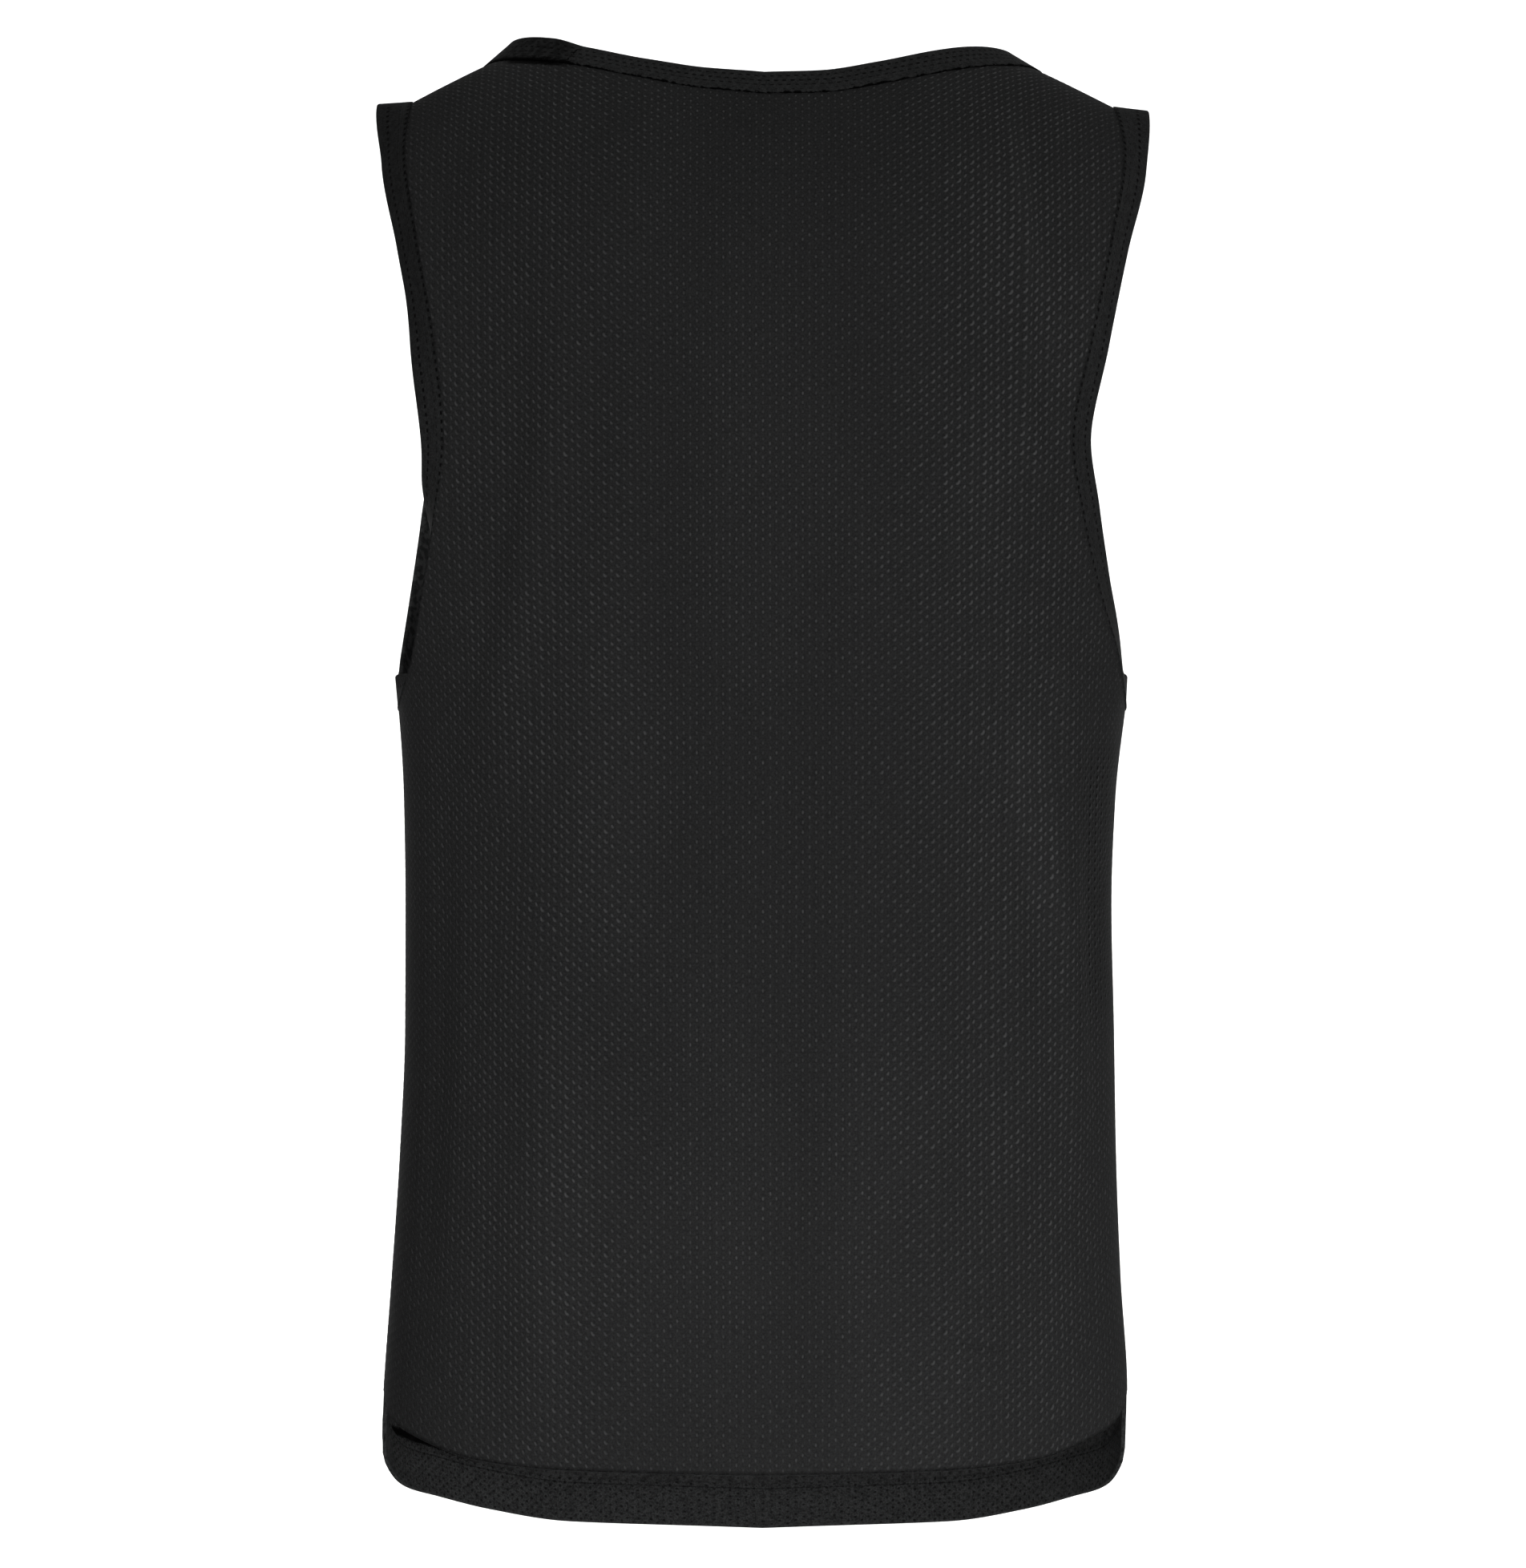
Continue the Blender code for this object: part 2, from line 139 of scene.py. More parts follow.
FOLD = "start top end bottom half_width rise"
FOLD_FADE = 0.14
FOLD_FULLNESS = 0.7
FOLDS = {
    "back": rows(
        FOLD,
        (0.50, -0.050, 0.76, -0.220, 0.090, 0.0042),
        (0.33, -0.070, 0.42, -0.300, 0.110, -0.0030),
        (0.60, -0.290, 0.66, -0.560, 0.100, 0.0040),
        (0.38, -0.330, 0.36, -0.640, 0.110, -0.0032),
        (0.12, -0.260, 0.10, -0.660, 0.100, 0.0030),
        (-0.14, -0.090, -0.18, -0.420, 0.110, -0.0026),
        (-0.42, -0.110, -0.50, -0.380, 0.110, 0.0034),
        (-0.40, -0.400, -0.36, -0.690, 0.120, 0.0036),
        (-0.66, -0.340, -0.70, -0.640, 0.090, -0.0030),
    ),
    "front": rows(
        FOLD,
        (0.46, -0.080, 0.60, -0.320, 0.100, 0.0036),
        (0.30, -0.300, 0.26, -0.700, 0.120, -0.0036),
        (0.58, -0.360, 0.62, -0.700, 0.100, 0.0042),
        (0.04, -0.260, -0.02, -0.700, 0.110, 0.0034),
        (-0.44, -0.090, -0.56, -0.300, 0.100, 0.0036),
        (-0.30, -0.280, -0.32, -0.700, 0.110, -0.0034),
        (-0.60, -0.340, -0.66, -0.690, 0.100, 0.0040),
    ),
}

LEAN = "turn lean"
NECK_LEAN = rows(
    LEAN, (0, 0), (30, 4), (50, 9), (81, 5), (110, 2), (180, 0), (240, 4), (262, 12), (279, 15),
    (295, 21), (305, 17), (314, 3), (330, -2), (360, 0),
)
ARMHOLE_LEAN = {
    "left": rows(LEAN, (0, -8), (20, -46), (50, -55), (72, -22), (95, -12), (120, -22), (155, -14),
                 (180, 24), (205, -2), (260, -8), (330, 2), (360, -8)),
    "right": rows(LEAN, (0, -12), (30, -22), (60, -22), (85, -26), (120, -26), (155, -16),
                  (180, 20), (205, -2), (260, -12), (330, -12), (360, -12)),
}
BAND_SMOOTHING = 0.012
GRADIENT_STEP = 1e-6

# ---------------------------------------------------------------- what the solids leave out
# Creases: from one place (x, z) to another, with the half width and how far the cloth stands out.
CREASE = "x0 z0 x1 z1 half_width rise"
CREASES = {
    "back": rows(
        CREASE,
        (0.104, -0.038, 0.146, -0.172, 0.012, 0.0016),
        (0.086, -0.060, 0.120, -0.190, 0.014, -0.0012),
        (0.110, -0.330, 0.146, -0.440, 0.013, 0.0015),
        (0.128, -0.300, 0.150, -0.390, 0.011, -0.0011),
        (0.088, -0.6235, 0.113, -0.6265, 0.0045, -0.0011),
        (0.084, -0.6290, 0.116, -0.6325, 0.0050, 0.0008),
        (-0.058, -0.110, -0.070, -0.300, 0.020, 0.0009),
        (0.012, -0.060, 0.006, -0.240, 0.022, -0.0008),
        (-0.120, -0.420, -0.132, -0.560, 0.014, 0.0010),
        (-0.150, -0.345, -0.120, -0.372, 0.010, 0.0012),
        (-0.148, -0.362, -0.112, -0.400, 0.009, -0.0009),
        (0.152, -0.350, 0.126, -0.384, 0.010, 0.0010),
        (0.050, -0.560, 0.036, -0.676, 0.018, 0.0011),
        (-0.010, -0.600, -0.018, -0.684, 0.016, -0.0009),
        (-0.098, -0.600, -0.092, -0.672, 0.014, -0.0010),
        (-0.132, -0.050, -0.150, -0.130, 0.009, 0.0009),
        (0.150, -0.058, 0.158, -0.150, 0.007, -0.0007),
    ),
    "front": rows(
        CREASE,
        (0.070, -0.100, 0.120, -0.180, 0.013, 0.0013),
        (-0.066, -0.108, -0.124, -0.196, 0.012, 0.0015),
        (0.150, -0.350, 0.108, -0.396, 0.011, 0.0014),
        (0.146, -0.372, 0.112, -0.430, 0.010, -0.0010),
        (-0.152, -0.346, -0.116, -0.380, 0.010, 0.0013),
        (-0.150, -0.366, -0.104, -0.420, 0.009, -0.0011),
        (0.020, -0.130, 0.014, -0.330, 0.020, -0.0009),
        (-0.100, -0.470, -0.118, -0.640, 0.016, 0.0012),
        (0.096, -0.500, 0.104, -0.690, 0.017, 0.0012),
        (0.050, -0.610, 0.044, -0.722, 0.015, -0.0011),
        (-0.040, -0.600, -0.052, -0.722, 0.016, 0.0010),
    ),
}
CREASE_FULLNESS = 0.8

WALL = 0.0010              # one layer of the mesh, threads and all
HEM_TAPER = 0.0040         # length over which the turned-up cloth thins out to its cut edge
HEM_THINNED = 0.85         # share of the wall that is gone there
ROLL = 0.0011              # radius of the cloth's outer face where the hem turns up
ROLL_ROWS = (1.0, 0.72, 0.48, 0.24)   # shares of the half turn at which it has its rows
STITCH_LINE = 0.0198       # height of the hem's stitching above the fold
CUT_EDGE = HEM_HEIGHT + (math.pi - 1) * ROLL   # length of the turned-up cloth, roll and all
COURSE_REPEAT = 0.00618    # two columns of holes
WALE_REPEAT = 0.00445      # from hole to hole up a column
BODY_STRETCH = 1.02        # the worn body is drawn out by its own weight, and the yoke isn't
YOKE_STRETCH = 0.96
COURSE_RISE = 0.010        # how far a course rises towards the armholes at the top of the back
COURSE_RISE_WIDTH = 0.120
DIMPLE = 0.00030           # depth of the hollow at each hole
BAND_WIDTHS = {"neck": 0.014, "armhole": 0.016}
BAND_WALL = 0.0024
BAND_STEP = 0.00125        # from section to section along a band
BAND_HOLE_PITCH = 0.0041
BAND_EDGE_STEPS = 5        # round a band's folded edge
BAND_FACE_STEPS = 11       # across a band's face
RING_POINTS = 800          # round an opening, before they are spaced evenly

CHART_COLUMNS = 121        # of the chart that turns cloth places into places on the form
CHART_ROWS = 201
ARC_STEPS = 40
SEARCH_STEPS = 60
SEARCH_STRIDE = 3.0        # the furthest a search moves at once, in the chart's cells
SEARCH_PAST = 9            # the furthest it goes past the chart's edges, in cells
EDGE_MARGIN = 0.0005       # points nearer to a panel's edge than this are put on it
OUTSIDE, TURNED_UP, INSIDE = range(3)   # a panel's materials

FLOOR_HEIGHT, FLOOR_START, FLOOR_FLAT, FLOOR_BEND, FLOOR_RUN = -1.20, -4.0, 8.0, 3.0, 14.0
FLOOR_HALF_WIDTH = 9.0
CAMERA_PLACE = (0.0, -3.0, -0.3619)
PHOTO_HEIGHT = 1956 * 0.39e-3   # in metres at the seam plane
SENSOR = 36.0
LAMPS = rows(
    "name place aim size power",
    ("low_front", (0.2, -0.9, -1.05), (0, 0, -0.37), 0.5, 7.5),
    ("high_front", (0.0, -2.2, 1.6), (0, 0, -0.37), 1.6, 10.0),
    ("right_side", (2.6, -0.8, -0.2), (0, 0, -0.37), 1.4, 4.7),
    ("left_side", (-2.6, -0.8, -0.2), (0, 0, -0.37), 1.4, 0.8),
    ("backdrop_left", (-2.4, 3.4, 0.6), (-0.6, 7.0, 0.0), 1.5, 120.0),
    ("backdrop_right", (2.4, 3.4, 0.6), (0.6, 7.0, 0.0), 1.5, 120.0),
)

# The lit lips below are a painted highlight, made lighter in the cloth's colour.
LIP_TURN = math.radians(48)    # how far round a hole its lit lip moves towards a panel's sides
LIP_REACH = 0.100              # distance from the middle where it has moved all the way
SPOT_WIDTH = 0.6               # width of a hole in the middle, as a share of that at the sides
DROP_REACH = 0.0008            # in the middle the lit lip is a drop this far below the hole
DROP_SIZE = (0.00052, 0.00092, 1.0)
DRAW_IN = (0.132, 0.172)       # x from which, and to which, the lit lips grow small and dim
LOW_DIM = (-0.640, -0.520)     # z from which, and to which, they come up to full strength
# Holes at the right darkened by painted shade: it comes in over the two x and the first two z, and
# ends over the last.
OPEN_HOLES = (0.146, 0.158, -0.495, -0.455, -0.355, -0.335)
FOLD_SHADE = 0.0016            # height above the fold at which its painted shade ends
PALE_INSIDE = (-0.280, -0.262)   # z from which, and to which, the left band's inside grows pale
# Marks along a line: the (x, z) of both ends, and half the width.
# Painted highlight streaks on the back.
HIGHLIGHT_STREAKS = (((0.1185, -0.045), (0.1300, -0.125), 0.0045), ((0.124, -0.335), (0.136, -0.43), 0.009))
# Painted shadow in the gaps between the back's hem and the front's inside, at the left.
HEM_GAP_SHADOWS = (((-0.1850, -0.6765), (-0.1719, -0.6862), 0.0018),
            ((-0.1740, -0.6848), (-0.1440, -0.6990), 0.0016))
# Painted shadow under the left end of the neck band.
NECK_GAP_SHADOW = ((-0.1235, -0.0132), (-0.0930, -0.0172), 0.0015)
BAND_JOIN = ((-0.0885, -0.0085), (-0.0985, -0.0205), 0.0005)
BUMP_DEPTH = 0.0004
SPECULAR = 0.02
HEM_DRAWN = ((0.74, 1.50), (1.19, 1.11))   # scales of u and v in the middle and at the sides
HEM_DRAWN_REACH = 0.080        # distance from the middle where those of the sides begin
HEM_STITCH_PLACE = -((math.pi - 1) * ROLL + STITCH_LINE)   # the v of the hem's stitching
# A band's rows of holes: how far from its seam, and the share of the pitch that a hole takes up.
DOTS = "at half_width length strength shift"
BAND_DOTS = {
    "neck": rows(
        DOTS,
        (0.0022, 0.00035, 0.16, 0.60, 0.0),
        (0.0052, 0.00040, 0.22, 0.85, 0.5),
        (0.0082, 0.00050, 0.24, 0.98, 0.0),
        (0.0114, 0.00045, 0.22, 0.90, 0.5),
    ),
    "armhole": rows(
        DOTS,
        (0.0006, 0.00072, 0.22, 1.00, 0.0),
        (0.0045, 0.00045, 0.16, 0.60, 0.5),
        (0.0110, 0.00072, 0.22, 1.00, 0.0),
    ),
}
BAND_DITCH = {"neck": 1.0, "armhole": 0.15}   # how dark the painted shadow in the ditch at the seam is
BAND_TONE = {"neck": 1.08, "armhole": 1.0}
STITCH_RIDGES = ((0.0026, 0.20), (0.0040, 0.15))   # how far from the seam, and how light


def read(table, column, at):
    """Read a column of a table at places between its rows, on a smooth curve through them."""
    places = np.array([row[0] for row in table], float)
    values = np.array([getattr(row, column) for row in table], float)
    slopes = np.diff(values) / np.diff(places)
    before, after = slopes[:-1], slopes[1:]
    total = np.where(before * after > 0, before + after, 1.0)
    inner = np.where(before * after > 0, 2 * before * after / total, 0.0)
    tangents = np.concatenate((slopes[:1], inner, slopes[-1:]))
    at = np.clip(at, places[0], places[-1])
    low = np.clip(np.searchsorted(places, at, side="right") - 1, 0, len(places) - 2)
    span = places[low + 1] - places[low]
    share = (at - places[low]) / span
    square, cube = share ** 2, share ** 3
    return ((2 * cube - 3 * square + 1) * values[low]
            + (cube - 2 * square + share) * span * tangents[low]
            + (3 * square - 2 * cube) * values[low + 1]
            + (cube - square) * span * tangents[low + 1])


def mix(start, end, share):
    return start + (end - start) * share


def ease(value):
    value = np.clip(value, 0.0, 1.0)
    return value * value * (3 - 2 * value)


def unit(vectors):
    return vectors / np.linalg.norm(vectors, axis=-1, keepdims=True)


# ---------------------------------------------------------------- the surface
def right_share(x):
    return ease(0.5 + x / RIDGE_BLEND)


def ridge_line(handed, out):
    ridge = RIDGES[handed]
    past = out - ridge.bend
    return ridge.top - ridge.slope * (np.hypot(past, ridge.softness) + past) / 2


def ridge_height(x):
    out = np.abs(x)
    return mix(ridge_line("left", out), ridge_line("right", out), right_share(x))


def half_width(x, z):
    return np.where(x < 0, read(SECTIONS, "left", z), read(SECTIONS, "right", z))


def depth(side, x, z):
    """How far the outer surface lies from the seam plane."""
    share = 1 - np.minimum(np.abs(x) / half_width(x, z), 1.0) ** SECTION_POWER
    below = np.clip((ridge_height(x) - z) / ROUND_OVER[side], 0.0, 1.0)
    rounding = np.sqrt(1 - (1 - below) ** 2)
    return read(SECTIONS, side, z) * share ** (1 / SECTION_POWER) * rounding


def outward(side, x, z):
    step = GRADIENT_STEP
    across = (depth(side, x + step, z) - depth(side, x - step, z)) / (2 * step)
    up = (depth(side, x, z + step) - depth(side, x, z - step)) / (2 * step)
    return unit(np.stack((-across, np.full_like(across, FACING[side]), -up), axis=-1))


def fold_rise(side, across, z):
    rise = np.zeros_like(z)
    for fold in FOLDS[side]:
        along = (fold.top - z) / (fold.top - fold.bottom)
        middle = mix(fold.start, fold.end, along)
        beside = 1 - np.abs(across - middle) / fold.half_width
        full = np.sin(math.pi * np.clip(along, 0, 1)) ** FOLD_FULLNESS
        rise += fold.rise * ease(beside) * np.where((along > 0) & (along < 1), full, 0.0)
    return rise * ease((1 - np.abs(across)) / FOLD_FADE)


def crease_rise(side, across, x, z):
    """The smaller creases, which the solids leave out."""
    rise = np.zeros_like(z)
    for crease in CREASES[side]:
        run_x, run_z = crease.x1 - crease.x0, crease.z1 - crease.z0
        length = math.hypot(run_x, run_z)
        along = ((x - crease.x0) * run_x + (z - crease.z0) * run_z) / length ** 2
        beside = np.abs((x - crease.x0) * run_z - (z - crease.z0) * run_x) / length
        full = np.sin(math.pi * np.clip(along, 0, 1)) ** CREASE_FULLNESS
        rise += crease.rise * ease(1 - beside / crease.half_width) * full
    return rise * ease((1 - np.abs(across)) / FOLD_FADE)


def neck_height(side, x):
    out = np.abs(x)
    neck_point = mix(ridge_line("left", NECK_HALF_WIDTH), ridge_line("right", NECK_HALF_WIDTH),
                     right_share(x))
    if side == "back":
        return neck_point - read(BACK_NECK, "drop", out)
    share = np.minimum(out / NECK_HALF_WIDTH, 1.0)
    return neck_point - FRONT_NECK_DROP * (1 - share ** SCOOP_SIDES) ** SCOOP_FOOT


def edge_out(side, right, up):
    return np.where(right, read(ARMHOLE_EDGES, f"{side}_right", up),
                    read(ARMHOLE_EDGES, f"{side}_left", up))


def top_edge(side, right, share):
    sign = np.where(right, 1.0, -1.0)
    neck_x = NECK_HALF_WIDTH * np.sin(math.pi / 2 * np.minimum(share / NECK_COLUMN, 1.0))
    past_neck = np.clip((share - NECK_COLUMN) / (1 - NECK_COLUMN), 0, 1)
    shoulder_x = mix(NECK_HALF_WIDTH, edge_out(side, right, np.ones_like(share)), past_neck)
    at_neck = share <= NECK_COLUMN
    x = sign * np.where(at_neck, neck_x, shoulder_x)
    return x, np.where(at_neck, neck_height(side, x), ridge_height(x))


def panel_place(side, across, rise, above_fold=0.0):
    """(x, z) on a panel. rise is 0 at the hem, 1 at the underarm and 2 at the top edge."""
    share = np.abs(across)
    right = across >= 0
    sign = np.where(right, 1.0, -1.0)
    level = np.sin(math.pi / 2 * share) ** (2 / SECTION_POWER)
    z_body = mix(read(HEM, side, share) + above_fold, UNDERARM, np.clip(rise, 0, 1))
    x_body = half_width(across, z_body) * level
    up = np.sin(math.pi / 2 * np.clip(rise - 1, 0, 1))
    top_x, top_z = top_edge(side, right, share)
    top_share = np.abs(top_x) / edge_out(side, right, np.ones_like(share))
    x_yoke = mix(level, top_share, up) * edge_out(side, right, up)
    in_yoke = rise > 1
    return (sign * np.where(in_yoke, x_yoke, x_body),
            np.where(in_yoke, mix(UNDERARM, top_z, up), z_body))


def panel_point(side, across, rise, above_fold=0.0, creased=True):
    """Points of a panel's outer surface, and the normals there."""
    x, z = panel_place(side, across, rise, above_fold)
    points = np.stack((x, FACING[side] * (depth(side, x, z) - SEAM_LAP), z), axis=-1)
    normals = outward(side, x, z)
    lift = fold_rise(side, across, z)
    if creased:
        lift = lift + crease_rise(side, across, x, z)
    return points + normals * lift[..., None], normals


# ---------------------------------------------------------------- the chart of a panel
def arc_across(side, x, z):
    """Length of cloth from the middle of a panel out to x, along a level course."""
    half = half_width(x, z)
    power = SECTION_POWER
    turn = np.arcsin(np.minimum(np.abs(x) / half, 1.0) ** (power / 2))
    steps = np.linspace(0, 1, ARC_STEPS + 1).reshape(-1, *([1] * x.ndim))
    outs = half * np.sin(turn * steps) ** (2 / power)
    depths = read(SECTIONS, side, z) * np.cos(turn * steps) ** (2 / power)
    length = np.hypot(np.diff(outs, axis=0), np.diff(depths, axis=0)).sum(axis=0)
    return np.sign(x) * length


def arc_up(side, x, z):
    """Length of cloth from the level of the underarm straight up to z."""
    steps = np.sin(math.pi / 2 * np.linspace(0, 1, ARC_STEPS + 1)).reshape(-1, *([1] * x.ndim))
    heights = UNDERARM + (z - UNDERARM) * steps
    depths = depth(side, np.broadcast_to(x, heights.shape), heights)
    return np.hypot(np.diff(heights, axis=0), np.diff(depths, axis=0)).sum(axis=0)


def make_chart(side):
    """Cloth places u and v over a grid of across and rise."""
    across, rise = np.meshgrid(np.linspace(-1, 1, CHART_COLUMNS), np.linspace(0, 2, CHART_ROWS))
    x, z = panel_place(side, across, rise, ROLL)
    u = arc_across(side, x, z)
    points = np.stack((x, FACING[side] * depth(side, x, z), z), axis=-1)
    runs = np.linalg.norm(np.diff(points, axis=0), axis=-1)
    climbed = np.vstack((np.zeros(CHART_COLUMNS), np.cumsum(runs, axis=0)))
    waist = (CHART_ROWS - 1) // 2
    body = climbed[waist].mean() / BODY_STRETCH
    v = climbed / climbed[waist] * body
    above = arc_up(side, x[waist:], z[waist:]) / YOKE_STRETCH
    lift = COURSE_RISE * (x[waist:] / COURSE_RISE_WIDTH) ** 2
    v[waist:] = body + above - lift * ease((z[waist:] - UNDERARM) / -UNDERARM)
    return u, v


def look_up(chart, column, row):
    """Read both of a chart's layers, and how they change by column and by row."""
    low_c = np.clip(np.floor(column).astype(int), 0, CHART_COLUMNS - 2)
    low_r = np.clip(np.floor(row).astype(int), 0, CHART_ROWS - 2)
    share_c, share_r = column - low_c, row - low_r
    result = []
    for layer in chart:
        a, b = layer[low_r, low_c], layer[low_r, low_c + 1]
        c, d = layer[low_r + 1, low_c], layer[low_r + 1, low_c + 1]
        value = mix(mix(a, b, share_c), mix(c, d, share_c), share_r)
        result.append((value, mix(b - a, d - c, share_r), mix(c - a, d - b, share_c)))
    return result


def find_places(chart, u, v):
    """The across and rise of cloth places, past the panel's edges too."""
    column = (u / np.abs(chart[0]).max() + 1) / 2 * (CHART_COLUMNS - 1)
    row = np.interp(v, chart[1][:, CHART_COLUMNS // 2], np.arange(CHART_ROWS))
    for _ in range(SEARCH_STEPS):
        (u_here, u_c, u_r), (v_here, v_c, v_r) = look_up(chart, column, row)
        miss_u, miss_v = u - u_here, v - v_here
        scale = u_c * v_r - u_r * v_c
        scale = np.where(np.abs(scale) < 1e-9, 1e-9, scale)
        move_c = (miss_u * v_r - miss_v * u_r) / scale
        move_r = (u_c * miss_v - v_c * miss_u) / scale
        longest = np.maximum(np.maximum(np.abs(move_c), np.abs(move_r)) / SEARCH_STRIDE, 1.0)
        column = np.clip(column + move_c / longest, -SEARCH_PAST,
                         CHART_COLUMNS - 1 + SEARCH_PAST)
        row = np.clip(row + move_r / longest, 0, CHART_ROWS - 1 + SEARCH_PAST)
    return column / (CHART_COLUMNS - 1) * 2 - 1, row / (CHART_ROWS - 1) * 2


# ---------------------------------------------------------------- mesh helpers
def drawn_out(places):
    """Cloth places scaled as the hem is drawn out: sideways in the middle, less at the sides."""
    u, v = places[:, 0], places[:, 1]
    near = np.minimum(np.abs(u) / HEM_DRAWN_REACH, 1.0)
    (u_middle, v_middle), (u_side, v_side) = HEM_DRAWN
    scaled = near * (u_middle + (u_side - u_middle) / 3 * near ** 2) * HEM_DRAWN_REACH
    scaled += u_side * np.maximum(np.abs(u) - HEM_DRAWN_REACH, 0.0)
    return np.stack((np.sign(u) * scaled, v * mix(v_middle, v_side, near ** 2)), axis=-1)


def add_object(name, data):
    made = bpy.data.objects.new(name, data)
    bpy.context.scene.collection.objects.link(made)
    return made


def finish_piece(name, mesh, places, materials):
    """Make an object of a bmesh, with its cloth places and finish, and put it in the frame."""
    data = bpy.data.meshes.new(name)
    mesh.to_mesh(data)
    mesh.free()
    if places is not None:
        corners = np.empty(len(data.loops), np.int32)
        data.loops.foreach_get("vertex_index", corners)
        for label, values in (("cloth", places), ("drawn_cloth", drawn_out(places))):
            layer = data.uv_layers.new(name=label)
            layer.data.foreach_set("uv", values[corners].astype(np.float32).ravel())
    data.shade_smooth()
    for material in materials:
        data.materials.append(material)
    piece = add_object(name, data)
    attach(piece, "root")
    return piece


def joined(start, beside):
    """All that steps from one item to those beside it reach from start, in the order found."""
    found, waiting = {start: None}, [start]
    while waiting:
        for item in beside(waiting.pop()):
            if item not in found:
                found[item] = None
                waiting.append(item)
    return list(found)


def boundary_loops(mesh):
    left = [edge for edge in mesh.edges if edge.is_boundary]
    loops = []
    while left:
        loop = joined(left[0], lambda edge: [other for vertex in edge.verts
                                             for other in vertex.link_edges if other.is_boundary])
        loops.append(loop)
        taken = set(loop)
        left = [edge for edge in left if edge not in taken]
    return loops


def drop_strays(mesh, start):
    """Delete the faces that aren't joined to the one at start."""
    kept = set(joined(start, lambda face: [other for edge in face.edges
                                           for other in edge.link_faces]))
    strays = [face for face in mesh.faces if face not in kept]
    bmesh.ops.delete(mesh, geom=strays, context="FACES")


# ---------------------------------------------------------------- panels
def hem_path(side, across, below):
    """The turned-up cloth: points and normals at a length of cloth below the start of the roll."""
    fold = np.zeros_like(across)
    points, normals = panel_point(side, across, fold, ROLL)
    past = np.clip(below - math.pi * ROLL, 0, None)
    higher, up_normals = panel_point(side, across, fold, ROLL + past)
    angle = np.clip(below / ROLL, 0, math.pi)[..., None]
    down = np.broadcast_to((0.0, 0.0, -1.0), points.shape)
    down = unit(down - normals * (down * normals).sum(-1, keepdims=True))
    rolled = points - normals * ROLL * (1 - np.cos(angle)) + down * ROLL * np.sin(angle)
    rolled_normals = normals * np.cos(angle) + down * np.sin(angle)
    is_past = (past > 0)[..., None]
    return (np.where(is_past, higher - up_normals * 2 * ROLL, rolled),
            np.where(is_past, -up_normals, rolled_normals))


def net_lines(chart):
    """The u of the columns and the v of the rows of a panel's net, with the hem's below 0."""
    step_u, step_v = COURSE_REPEAT / 2, WALE_REPEAT / 2
    reach = math.ceil(np.abs(chart[0]).max() / step_u) + 1
    climb = math.ceil(chart[1].max() / step_v) + 1
    roll_rows = -ROLL * math.pi * np.array(ROLL_ROWS)
    hem_rows = -np.arange(math.floor(CUT_EDGE / step_v), 1, -1) * step_v
    upper_rows = np.arange(0, climb + 1) * step_v
    return (np.arange(-reach, reach + 1) * step_u,
            np.concatenate(([-CUT_EDGE], hem_rows, roll_rows, upper_rows)))


def flat_net(columns, heights):
    """A flat grid, and for each of its points the column and the row that it is in."""
    mesh = bmesh.new()
    bmesh.ops.create_grid(mesh, x_segments=len(columns) - 1, y_segments=len(heights) - 1, size=1.0)
    mesh.verts.ensure_lookup_table()
    flat = np.array([(vertex.co.x, vertex.co.y) for vertex in mesh.verts])
    column = np.rint((flat[:, 0] + 1) / 2 * (len(columns) - 1)).astype(int)
    row = np.rint((flat[:, 1] + 1) / 2 * (len(heights) - 1)).astype(int)
    return mesh, column, row


def fit_to_edges(mesh, chart, u, v):
    """The across and rise of the net's points, moved onto the edges, and which lie inside them."""
    across, rise = find_places(chart, u, np.maximum(v, 0.0))
    rise = np.where(v <= 0, 0.0, rise)
    near_side = EDGE_MARGIN / np.abs(chart[0]).max()
    near_top = 2 * EDGE_MARGIN / chart[1].max()
    inside = (np.abs(across) < 1 - near_side) & (rise < 2 - near_top)
    across = np.where(np.abs(across) < 1 - near_side, across, np.sign(across))
    rise = np.where(rise < 2 - near_top, np.clip(rise, 0, 2), 2.0)
    kept = {vertex.index for face in mesh.faces if any(inside[v.index] for v in face.verts)
            for vertex in face.verts}
    top = np.array([index for index in kept if not inside[index] and rise[index] == 2.0])
    for corner in (-1.0, -NECK_COLUMN, NECK_COLUMN, 1.0):
        across[top[np.argmin(np.abs(across[top] - corner))]] = corner
    return across, rise, inside


def wall_faces(side, settings, across, rise, v, sunk):
    """Points of the wall's outer and inner face, sunk by so much at each hole."""
    points, normals = panel_point(side, across, rise, ROLL)
    turned, turned_normals = hem_path(side, across, np.maximum(-v, 0.0))
    is_turned = (v < 0)[:, None]
    points = np.where(is_turned, turned, points)
    normals = np.where(is_turned, turned_normals, normals)
    thinned = np.interp(-v, (CUT_EDGE - HEM_TAPER, CUT_EDGE), (0.0, HEM_THINNED))
    return (points - normals * (sunk + thinned * settings.wall)[:, None],
            points - normals * (sunk + settings.wall)[:, None])


